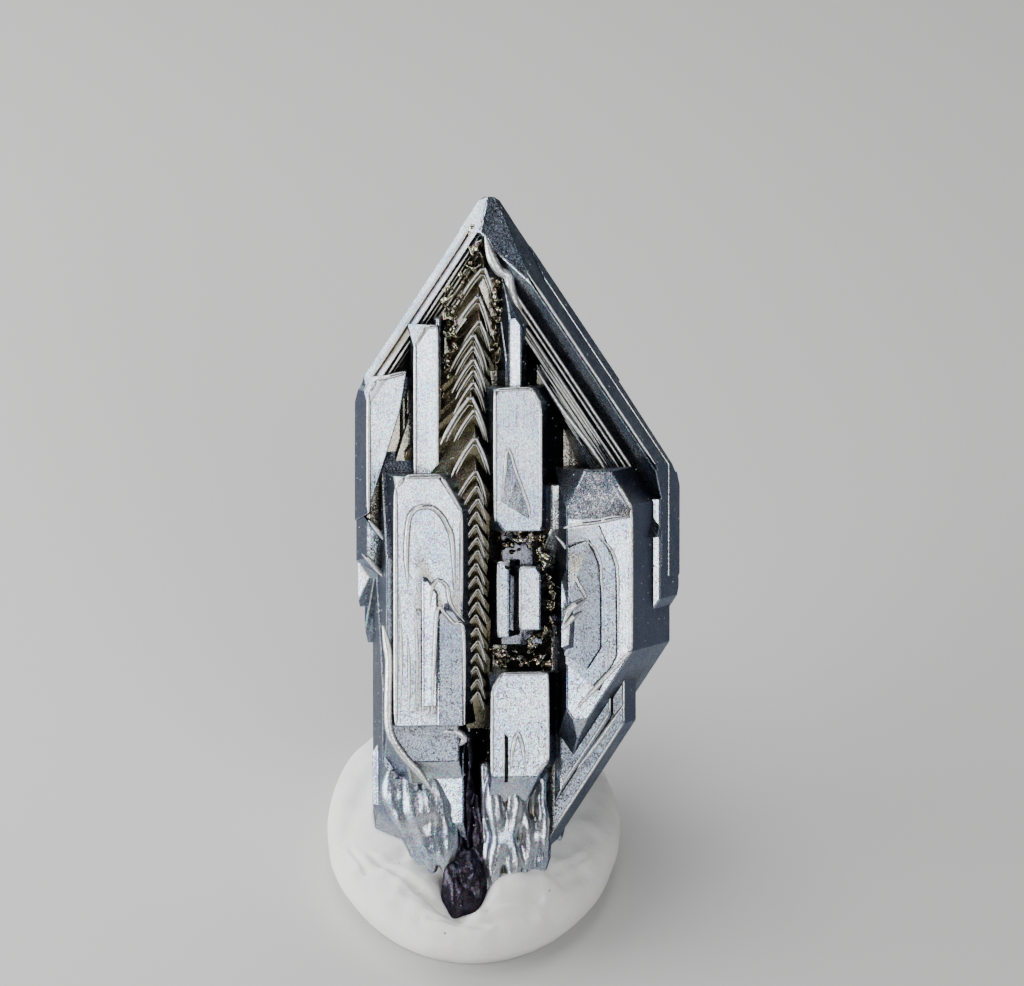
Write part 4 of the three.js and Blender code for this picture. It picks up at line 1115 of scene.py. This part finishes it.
# %% Striations on the sides and the back
def striations(azimuth, out, lows, highs, left, right, count, seed):
    """Fine ribs that run up a prism face, unevenly spaced, each of its own length."""
    roll = random.Random(seed)
    paths = []
    for number in range(count):
        share = (number + roll.uniform(0.1, 0.9)) / count
        along = left + share * (right - left)
        low = lows[0] + share * (lows[1] - lows[0]) + roll.uniform(0.0, 1.6)
        high = highs[0] + share * (highs[1] - highs[0]) - roll.uniform(0.0, 1.8)
        if high - low > 0.8:
            ups = [low + (high - low) * k / 3.0 for k in range(4)]
            paths.append((roll.uniform(0.012, 0.04), [on_face(azimuth, along, out, up) for up in ups]))
    return paths


STRIATED = (
    (BACK, REACH[BACK], (7.5, 8.5), (12.4, 12.2), -0.85, -0.15, 8, 3),
    (BACK, 2.75, (7.0, 6.5), (10.8, 12.0), -3.0, -1.0, 16, 5),
    (BACK, 2.65, (7.0, 7.5), (12.6, 11.8), 0.0, 1.4, 12, 8),
    (BACK_LEFT, 3.1, (5.5, 6.5), (12.0, 12.0), -0.5, 1.3, 16, 13),
    (BACK_RIGHT, REACH[BACK_RIGHT], (8.5, 9.0), (12.0, 12.2), -3.0, 2.6, 26, 21),
    (FRONT_RIGHT, REACH[FRONT_RIGHT], (8.6, 9.0), (11.6, 11.4), -1.9, 1.6, 15, 34),
)
rib_paths = clinging([path for row in STRIATED for path in striations(*row)])
ribs = crests("striations", rib_paths, spacing=0.6, sides=6)
print("striations:", len(rib_paths))

# %% [markdown]
# ## The fused root
#
# Near its root the crystal looks half melted: lobes run into each other, glossy and
# wavy. Straight cuts can't give that. We lay thick ribs and a few plates together, wrap
# them in one skin with a voxel remesh, let that relax, and push it in and out with noise.
#
# The dark foot is made the same way from five thick ribs. So are the crumbs of metal in
# the trench and between the columns, but there the ribs are first broken up into short
# stubs: a whole rib would melt into a smooth cord.

# %% Where the lobes, the crumbs and the foot lie
# Each rib: how far out it lies, its half width and its corners.
ROOT_LOBES = (
    (3.4, 0.24, [(-0.6, 4.3), (-0.64, 3.19), (-0.52, 2.4), (-0.62, 1.6), (-0.56, 0.5)]),
    (3.42, 0.24, [(-0.2, 4.2), (-0.06, 3.04), (-0.2, 2.2), (-0.08, 1.4), (-0.16, 0.5)]),
    (3.35, 0.2, [(0.3, 4.1), (0.24, 2.89), (0.36, 2.0), (0.26, 0.5)]),
    (3.3, 0.24, [(0.75, 3.9), (0.8, 2.33), (0.7, 0.5)]),
    (2.75, 0.34, [(-3.5, 4.5), (-3.4, 3.6), (-3.2, 2.9), (-2.9, 2.2), (-2.6, 1.4)]),
    (2.95, 0.4, [(-3.0, 4.4), (-2.85, 3.5), (-2.6, 2.5), (-2.3, 1.2)]),
    (3.1, 0.36, [(-2.5, 4.2), (-2.3, 3.34), (-2.1, 2.4), (-1.9, 1.0)]),
    (3.0, 0.3, [(-1.95, 4.3), (-1.85, 3.2), (-1.8, 2.0), (-1.7, 0.8)]),
)
DEBRIS = (
    (2.0, 0.2, [(-0.75, 19.0), (-0.95, 18.4), (-1.2, 17.9)]),
    (2.2, 0.24, [(-1.5, 17.6), (-1.7, 16.8), (-1.78, 15.4), (-1.82, 14.3), (-1.82, 13.3), (-1.78, 12.6)]),
    (2.1, 0.15, [(-0.3, 18.2), (-0.22, 17.3), (-0.2, 16.3), (-0.15, 15.4)]),
    (3.2, 0.24, [(-0.75, 7.75), (-0.5, 7.4), (-0.3, 7.1)]),
    (2.9, 0.3, [(-0.2, 10.7), (0.3, 10.4), (0.7, 10.6)]),
    (2.7, 0.3, [(0.8, 9.6), (0.85, 8.8), (0.9, 8.0)]),
    (3.3, 0.15, [(-0.45, 10.8), (-0.1, 10.95), (0.3, 10.6), (0.54, 10.85), (0.9, 10.5)]),
    (3.2, 0.15, [(0.8, 10.5), (0.86, 9.9), (1.0, 9.2), (1.1, 8.5)]),
    (3.25, 0.15, [(1.1, 8.2), (0.8, 7.9), (0.4, 7.6)]),
    (3.1, 0.16, [(-0.5, 7.35), (-0.2, 7.4), (0.2, 7.2), (0.6, 7.3), (0.95, 7.2)]),
    (3.05, 0.13, [(0.95, 7.2), (1.2, 6.7), (1.3, 5.6), (1.2, 4.6)]),
    (1.6, 0.22, [(-0.95, 19.4), (-0.8, 18.9), (-0.95, 18.3)]),
)
FOOT_LUMPS = (
    (2.6, 0.42, [(-1.2, 5.6), (-1.25, 4.0), (-1.3, 2.6), (-1.3, 1.2), (-1.25, 0.2)]),
    (3.2, 0.42, [(-1.85, 1.5), (-1.75, 0.85), (-1.6, 0.35), (-1.5, -0.3)]),
    (3.2, 0.42, [(-1.35, 1.9), (-1.3, 1.2), (-1.25, 0.5), (-1.25, -0.3)]),
    (3.0, 0.3, [(-1.6, 2.4), (-1.55, 1.6), (-1.5, 0.9)]),
    (3.0, 0.3, [(-1.05, 3.4), (-1.0, 2.0), (-0.95, 0.5)]),
)


def surface_paths(lobes):
    """Turn such a list into paths that the crest tree can round."""
    return [(half_width, [on_face(FRONT, along, out, up) for along, up in path])
            for out, half_width, path in lobes]


print("lobes:", len(ROOT_LOBES), "crumbling ribs:", len(DEBRIS), "foot ribs:", len(FOOT_LUMPS))

# %% Melt things together
SLOW_WAVES, SLOW_WAVES_UP = 1.3, 0.9
QUICK_WAVES, QUICK_WAVES_UP, QUICK_SHARE = 3.4, 2.2, 0.4


def melted(name, things, voxel, relax, push, seed, finish):
    """Wrap things in one skin, relax it, and push it in and out with noise."""
    lump = merged(name, things)
    skin = lump.modifiers.new("skin", "REMESH")
    skin.mode = "VOXEL"
    skin.voxel_size = voxel
    skin.use_smooth_shade = True
    calm = lump.modifiers.new("calm", "SMOOTH")
    calm.factor = 0.5
    calm.iterations = relax
    fresh = evaluated_mesh(lump)
    lump.modifiers.clear()
    lump.data = fresh
    for vertex, normal in zip(fresh.vertices, [item.vector.copy() for item in fresh.vertex_normals]):
        spot = vertex.co
        slow = noise.noise(Vector((
            spot.x * SLOW_WAVES, spot.y * SLOW_WAVES, spot.z * SLOW_WAVES_UP + seed)))
        quick = noise.noise(Vector((
            spot.x * QUICK_WAVES, spot.y * QUICK_WAVES, spot.z * QUICK_WAVES_UP - seed)))
        vertex.co = spot + normal * (push * (slow + QUICK_SHARE * quick))
    fresh.materials.clear()
    fresh.materials.append(finish)
    fresh.shade_smooth()
    return lump


def bare_block(name, planes):
    """A sharp block, trimmed to the outer form of the crystal."""
    made = carve(name, planes, 0.0, bpy.context.scene.collection)
    combined(made, "INTERSECT", other=outer_form)
    return made


STUBS_PER_MM = 30


def rubble(paths, seed):
    """Short stubs strewn about each path, so that it melts into crumbs instead of a cord."""
    roll = random.Random(seed)
    stubs = []
    for half_width, places in paths:
        for start, end in zip(places, places[1:]):
            for _ in range(round(STUBS_PER_MM * (end - start).length)):
                middle = start.lerp(end, roll.random())
                spot = middle + half_width * Vector([roll.uniform(-1.1, 1.1) for _ in range(3)])
                reach = Vector([roll.uniform(-0.13, 0.13) for _ in range(3)])
                stubs.append((roll.uniform(0.05, 0.11), [spot - reach, spot, spot + reach]))
    return stubs


crumbs = rubble(surface_paths(DEBRIS), 4)
print("stubs to melt into crumbs:", len(crumbs))

# %% The root, the foot and the crumbs
ROOT_BLOCKS = {
    "root_left": plate(2.7, -3.58, -1.9, 4.2, 0.4, thick=2.2, heel_left=2.4, left_turn=95.5, ledge=True),
    "root_middle": plate(2.75, -2.5, -1.6, 3.4, -1.2, thick=2.4, left_turn=90.0, ledge=True, sole=True),
    "root_right": plate(3.3, -0.95, 0.85, 4.3, -1.2, thick=2.8, left_turn=88.0, ledge=True, sole=True),
}
lobes = crests("root_lobes", surface_paths(ROOT_LOBES), spacing=0.15, sides=12)
root = melted("fused_root", [lobes, *(bare_block(name, planes) for name, planes in ROOT_BLOCKS.items())],
              voxel=0.06, relax=14, push=0.1, seed=4.0, finish=fused_metal)
lumps = crests("foot_lumps", surface_paths(FOOT_LUMPS), spacing=0.12, sides=12)
foot = melted("dark_foot", [lumps], voxel=0.05, relax=2, push=0.2, seed=9.0, finish=foot_metal)
debris = melted("olive_debris", [crests("debris_stubs", crumbs, spacing=0.1, sides=6)],
                voxel=0.045, relax=1, push=0.04, seed=2.0, finish=olive_metal)
print("faces of root, foot and crumbs:", [len(part.data.polygons) for part in (root, foot, debris)])

# %% [markdown]
# ## Standing the crystal up
#
# Now all the metal becomes one object and leans back by 31 degrees. The hidden end of the
# root is cut off flat a little above the table, inside the tack. It is still measured in
# millimetres; it shrinks to metres once its hollows are measured.

# %% One crystal
ROOT_CUT = 0.75
for holder in (growth, pits):
    for block in list(holder.objects):
        spare = block.data
        bpy.data.objects.remove(block)
        bpy.data.meshes.remove(spare)
    bpy.data.collections.remove(holder)
bpy.data.objects.remove(outer_form)

core.data.materials.clear()
core.data.materials.append(crystal_metal)
crystal = merged("crystal", [core, *step_parts, lines, flank_lines, ribs, root, foot, debris])
shape = bmesh.new()
shape.from_mesh(crystal.data)
shape.transform(STAND)
everything = shape.verts[:] + shape.edges[:] + shape.faces[:]
bmesh.ops.bisect_plane(shape, geom=everything, plane_co=(0.0, 0.0, ROOT_CUT), plane_no=(0.0, 0.0, -1.0),
                       clear_outer=True)
shape.to_mesh(crystal.data)
shape.free()
print("crystal triangles:", sum(len(face.vertices) - 2 for face in crystal.data.polygons))

# %% [markdown]
# ## Painted shade on faces, and soil and shade in hollows
#
# Faces that point some ways are painted a dark blue: painted shade that stands in for the dark surroundings
# they reflect, so how blue a face is follows from where it points. The plates of the front all point one
# way; for them the painted shade follows from how far out they lie, each plate by its own amount. We store
# that for every face as an attribute.
#
# Shade falls where metal shelters metal, and the olive soil of the crystal sits there too. So from each
# corner we cast a few rays, and the share that hits metal close by, weighted by how close, is stored as an
# attribute; the finish paints it olive, partly as soil and partly as painted shade.

# %% Mark the faces painted dark as shade
# Directions painted a dark blue as painted shade, and how much.
SHADED_DIRECTIONS = (
    (facing(FRONT, PYRAMID_TILT), 0.9), (facing(FRONT_LEFT, -PYRAMID_TILT), 0.5),
    (facing(FRONT_RIGHT, PYRAMID_TILT), 0.72), (facing(FRONT_RIGHT), 0.9), (facing(FAR_LEFT), 0.85),
    (facing(BACK_RIGHT), 0.6), (facing(FRONT_RIGHT, -PYRAMID_TILT), 0.6),
)
# Front plates painted darker as painted shade, by how far out their face lies.
SHADED_PLATES = (
    (4.4, 0.12), (4.28, 0.6), (4.14, 0.8), (4.02, 0.75), (3.9, 0.32), (3.75, 0.45), (3.7, 0.5),
    (3.6, 0.8), (3.45, 0.86), (3.2, 0.8), (2.8, 0.85), (2.3, 0.3), (2.9, 0.7),
)
SAME_WAY, SAME_LEVEL = 0.985, 0.02


def mark_painted_shade(mesh):
    """Store for every face how much painted shade it gets, as a dark blue."""
    turned = [((STAND.to_3x3() @ normal).normalized(), amount) for normal, amount in SHADED_DIRECTIONS]
    values = [max([amount for normal, amount in turned if face.normal.dot(normal) > SAME_WAY], default=0.0)
              for face in mesh.polygons]
    outward = (STAND.to_3x3() @ facing(FRONT)).normalized()
    unstand = STAND.inverted()
    for number, face in enumerate(mesh.polygons):
        if face.normal.dot(outward) > SAME_WAY:
            out = (unstand @ face.center).dot(facing(FRONT))
            values[number] = max([amount for plate_out, amount in SHADED_PLATES
                                  if abs(out - plate_out) < SAME_LEVEL], default=0.0)
    mesh.attributes.new("tarnish", "FLOAT", "FACE").data.foreach_set("value", values)
    return sum(1 for value in values if value)


# The count is of faces painted darker as painted shade.
print("tarnished faces:", mark_painted_shade(crystal.data))

# %% Measure the hollows
INWARD, LIFTED, STRENGTHEN = 0.12, 0.02, 1.6


def measure_soil_and_shade(mesh, reach, ray_count, seed):
    """Store, for every corner of every face, how much metal shelters it: the amount of soil and painted
    shade.
    """
    tree = BVHTree.FromPolygons([v.co for v in mesh.vertices], [tuple(f.vertices) for f in mesh.polygons])
    roll = random.Random(seed)
    rays = []
    while len(rays) < ray_count:
        ray = Vector((roll.uniform(-1, 1), roll.uniform(-1, 1), roll.uniform(-1, 1)))
        if 0.1 < ray.length < 1.0:
            rays.append(ray.normalized())
    values = [0.0] * len(mesh.loops)
    for face in mesh.polygons:
        middle = face.center
        for index in face.loop_indices:
            corner = mesh.vertices[mesh.loops[index].vertex_index].co
            start = corner.lerp(middle, INWARD) + face.normal * LIFTED
            struck = 0.0
            for ray in rays:
                direction = ray if ray.dot(face.normal) > 0.0 else -ray
                distance = tree.ray_cast(start, direction, reach)[3]
                if distance is not None:
                    struck += 1.0 - distance / reach
            values[index] = min(1.0, STRENGTHEN * struck / ray_count)
    mesh.attributes.new("hollow", "FLOAT", "CORNER").data.foreach_set("value", values)
    return sum(values) / len(values)


print("mean hollow:", round(measure_soil_and_shade(crystal.data, reach=1.6, ray_count=12, seed=5), 3))
crystal.data.transform(Matrix.Scale(MM, 4))

# %% [markdown]
# ## The putty
#
# Mineral tack is soft: it was rolled to a ball, pressed flat under the root and pushed up
# against the metal. We model its skin on rings, from the middle of the flat underside out,
# round the bulging side and over the top. Then we press it: folds, a dent where the dark
# foot pushed in, a lip to its right, and a low rise wherever the metal is close.

# %% Size, folds and creases of the tack
TACK_HALF_WIDTH, TACK_HALF_DEPTH, TACK_TOP = 4.21, 5.82, 2.0
TACK_BULGE, TACK_FOOT = 0.87, 0.9
# Each fold or crease: its two ends, its half width and its depth.
FOLDS = (
    ((-3.1, -3.0), (-2.0, -2.75), 0.16, 0.10), ((-1.7, -3.9), (-0.3, -5.0), 0.2, 0.12),
    ((0.1, -5.2), (1.6, -4.8), 0.16, 0.09), ((-3.6, -1.0), (-2.9, 1.4), 0.25, 0.07),
    ((2.3, -2.6), (3.3, -1.4), 0.22, 0.07), ((2.6, -3.6), (3.1, -2.9), 0.14, 0.06),
)
CREASES = (
    ((-2.9, -2.5), (-1.6, -3.9), 0.07, 0.10), ((-1.6, -3.9), (-0.9, -4.5), 0.09, 0.12),
    ((0.4, -4.75), (1.9, -4.35), 0.08, 0.11), ((-1.2, -5.0), (0.4, -5.35), 0.07, 0.07),
    ((2.4, -3.3), (3.2, -2.3), 0.07, 0.07), ((-3.5, -1.9), (-3.0, -3.0), 0.06, 0.06),
)
DENT_PLACE, DENT_WIDTH, DENT_DEPTH = (-0.3, -4.2), 0.75, 0.8
LIP_START, LIP_END, LIP_WIDTH, LIP_HEIGHT = (0.75, -4.3), (2.0, -3.95), 0.36, 0.4
print("folds and creases:", len(FOLDS) + len(CREASES))

# %% The unpressed outline
FLAT_SHARE, ROUND_SHARE = 0.18, 0.82
TUCKED_UNDER, WHOLE_TURN = 22.0, 112.0
FULLNESS = 0.62


def nearness(x, y, start, end):
    """Distance from a point on the table to a straight stretch."""
    ax, ay = start
    bx, by = end
    along = ((x - ax) * (bx - ax) + (y - ay) * (by - ay)) / ((bx - ax) ** 2 + (by - ay) ** 2)
    along = min(1.0, max(0.0, along))
    return math.hypot(x - ax - along * (bx - ax), y - ay - along * (by - ay))


def tack_profile(share):
    """Radius and height, as shares of the outline and in mm, from the underside to the top."""
    if share < FLAT_SHARE:
        return TACK_FOOT * share / FLAT_SHARE, 0.0
    turn = math.radians(-TUCKED_UNDER + WHOLE_TURN * (share - FLAT_SHARE) / ROUND_SHARE)
    radius = math.cos(turn) ** FULLNESS if turn < math.pi / 2 - 1e-6 else 0.0
    if turn < 0.0:
        lift = 1.0 + math.sin(turn) / math.sin(math.radians(TUCKED_UNDER))
        radius = TACK_FOOT + (1.0 - TACK_FOOT) * math.sin(lift * math.pi / 2)
        return radius, TACK_BULGE * lift
    return radius, TACK_BULGE + (TACK_TOP - TACK_BULGE) * math.sin(turn)


print("halfway up the skin:", [round(number, 2) for number in tack_profile(0.5)])

# %% Press the tack
CLING_REACH, CLING_RISE, CLING_WIDTH = 1.2, 0.26, 0.28
LOWEST = 0.02


def pressed(x, y, z, crystal_tree):
    """Where a point of the unpressed skin ends up."""
    if z <= 0.0:
        return Vector((x, y, 0.0))
    top = min(1.0, z / TACK_BULGE)
    lift = 0.0
    for start, end, width, depth in FOLDS + CREASES:
        gap = nearness(x, y, start, end)
        lift -= depth * math.exp(-(gap / width) ** 2)
        lift += 0.5 * depth * math.exp(-((gap - 2.2 * width) / width) ** 2)
    lift -= DENT_DEPTH * math.exp(-(math.hypot(x - DENT_PLACE[0], y - DENT_PLACE[1]) / DENT_WIDTH) ** 2)
    lift += LIP_HEIGHT * math.exp(-(nearness(x, y, LIP_START, LIP_END) / LIP_WIDTH) ** 2)
    lift += 0.14 * noise.noise(Vector((x * 0.55, y * 0.55, 3.0)))
    lift += 0.05 * noise.noise(Vector((x * 1.8, y * 1.8, 7.0)))
    side = 1.0 + 0.012 * noise.noise(Vector((x * 0.8, y * 0.8, z + 1.0))) * top
    spot = Vector((x * side, y * side, z + lift * top))
    metal, _, _, gap = crystal_tree.find_nearest(spot, CLING_REACH)
    if metal is not None:
        spot.z += CLING_RISE * math.exp(-gap / CLING_WIDTH) * top
    spot.z = max(spot.z, LOWEST)
    return spot


STANDS_CLEAR = 2.0
metal_tree = BVHTree.FromPolygons([v.co / MM for v in crystal.data.vertices], [
    tuple(f.vertices) for f in crystal.data.polygons if f.center.z > STANDS_CLEAR * MM])
lip_top = pressed(1.4, -4.1, TACK_BULGE, metal_tree)
print("the lip lifts its place from", TACK_BULGE, "to", round(lip_top.z, 2), "mm")

# %% The skin of the tack
TURNS, RINGS = 220, 76
points = [Vector((0.0, 0.0, 0.0))]
for ring in range(1, RINGS):
    radius, height = tack_profile(ring / RINGS)
    for turn in range(TURNS):
        angle = 2.0 * math.pi * turn / TURNS
        x, y = TACK_HALF_WIDTH * radius * math.cos(angle), TACK_HALF_DEPTH * radius * math.sin(angle)
        points.append(pressed(x, y, height, metal_tree))
points.append(pressed(0.0, 0.0, TACK_TOP, metal_tree))
skin = []
for turn in range(TURNS):
    after = (turn + 1) % TURNS
    skin.append((0, 1 + after, 1 + turn))
    for ring in range(RINGS - 2):
        low, high = 1 + ring * TURNS, 1 + (ring + 1) * TURNS
        skin.append((low + turn, low + after, high + after, high + turn))
    low = 1 + (RINGS - 2) * TURNS
    skin.append((low + turn, low + after, len(points) - 1))
tack_mesh = bpy.data.meshes.new("putty")
tack_mesh.from_pydata([tuple(point * MM) for point in points], [], skin)
tack_mesh.shade_smooth()
tack_mesh.materials.append(white_tack)
tack = bpy.data.objects.new("putty", tack_mesh)
bpy.context.scene.collection.objects.link(tack)
print("putty faces:", len(skin), "top at", round(max(p.z for p in points), 2), "mm")

# %% [markdown]
# ## Dust
#
# Tiny pale grains cling to every face that doesn't look down. They follow a surface and
# there are hundreds of them, so a Geometry Nodes tree scatters them, each from a coarse
# ball of a few faces.

# %% Scatter the dust
SMALLEST, LARGEST = (0.35, 0.35, 0.25), (1.5, 1.2, 0.8)
FACES_UP_ABOVE = -0.1


def build_dust_tree():
    """Put an uneven grain on points scattered over the faces that don't look down."""
    tree, given, result = geometry_tree("dust", [
        ("Grains per square metre", "NodeSocketFloat"), ("Grain size", "NodeSocketFloat"),
        ("Seed", "NodeSocketInt"), ("Finish", "NodeSocketMaterial")])
    normal = add(tree, "GeometryNodeInputNormal")
    split = add(tree, "ShaderNodeSeparateXYZ", {0: normal.outputs[0]})
    upward = add(tree, "FunctionNodeCompare", {0: split.outputs["Z"], 1: FACES_UP_ABOVE},
                 data_type="FLOAT", operation="GREATER_THAN")
    scatter = add(tree, "GeometryNodeDistributePointsOnFaces", {
        "Mesh": given.outputs["Geometry"], "Selection": upward.outputs[0],
        "Density": given.outputs["Grains per square metre"], "Seed": given.outputs["Seed"]})
    grain = add(tree, "GeometryNodeMeshIcoSphere", {
        "Subdivisions": 1, "Radius": given.outputs["Grain size"]})
    uneven = add(tree, "FunctionNodeRandomValue", {
        0: SMALLEST, 1: LARGEST, "Seed": given.outputs["Seed"]}, data_type="FLOAT_VECTOR")
    put = add(tree, "GeometryNodeInstanceOnPoints", {
        "Points": scatter.outputs["Points"], "Instance": grain.outputs[0],
        "Rotation": scatter.outputs["Rotation"], "Scale": uneven.outputs[0]})
    return dressed(tree, result, put.outputs[0], given.outputs["Finish"])


dust = bpy.data.objects.new("dust", crystal.data.copy())
bpy.context.scene.collection.objects.link(dust)
grown(dust, build_dust_tree(), Grains_per_square_metre=1.6e6, Grain_size=0.022 * MM, Seed=4,
      Finish=pale_dust)
print("dust faces:", len(dust.data.polygons))

# %% [markdown]
# ## Light
#
# Metal shows only what it reflects. A broad soft light on the left whitens the left walls
# and the left rim, with a weaker one behind it. A softer one, high at the front right,
# fills the front faces with grey. One straight above and one high behind draw the bright
# edges of the crown. The right stays dark, so the right flank is dark and its fine treads
# are crisp.

# %% Floor and lights
def soft_light(name, spot, target, width, height, watts):
    lamp = bpy.data.lights.new(name, "AREA")
    lamp.shape = "RECTANGLE"
    lamp.size, lamp.size_y = width * MM, height * MM
    lamp.energy = watts
    holder = bpy.data.objects.new(name, lamp)
    bpy.context.scene.collection.objects.link(holder)
    holder.location = Vector(spot) * MM
    holder.rotation_euler = (Vector(target) - Vector(spot)).to_track_quat("-Z", "Y").to_euler()
    holder.visible_camera = False


HEART = (0.0, 2.0, 10.0)
soft_light("left_wall_light", (-70.0, -14.0, 22.0), HEART, 80.0, 44.0, 0.085)
soft_light("left_back_light", (-56.0, 44.0, 36.0), HEART, 50.0, 40.0, 0.022)
soft_light("front_right_light", (34.0, -74.0, 52.0), HEART, 46.0, 40.0, 0.038)
soft_light("top_light", (-6.0, -4.0, 95.0), HEART, 50.0, 40.0, 0.022)
soft_light("crown_light", (-4.0, 50.0, 80.0), HEART, 60.0, 44.0, 0.045)

world = bpy.data.worlds.new("dim_room")
bpy.context.scene.world = world
world.use_nodes = True
fill(world.node_tree, world.node_tree.nodes["Background"], {
    "Color": (0.50, 0.54, 0.60, 1.0), "Strength": 0.06})

bench = bmesh.new()
bmesh.ops.create_circle(bench, cap_ends=True, segments=96, radius=160.0 * MM)
floor = new_object("bench", bench)
floor_finish, floor_tree, floor_shader = new_finish("pale_bench")
fill(floor_tree, floor_shader, {"Base Color": (0.62, 0.62, 0.61, 1.0), "Roughness": 0.7})
floor.data.materials.append(floor_finish)
print("lights:", len(bpy.data.lights))

# %% Attach the pieces to the body and hide the parts they stand for
for piece, slot in ((crystal, "tellurium"), (tack, "putty"), (dust, "tellurium")):
    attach(piece, "root")
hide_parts("tellurium_crystal")
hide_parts("mounting_putty")
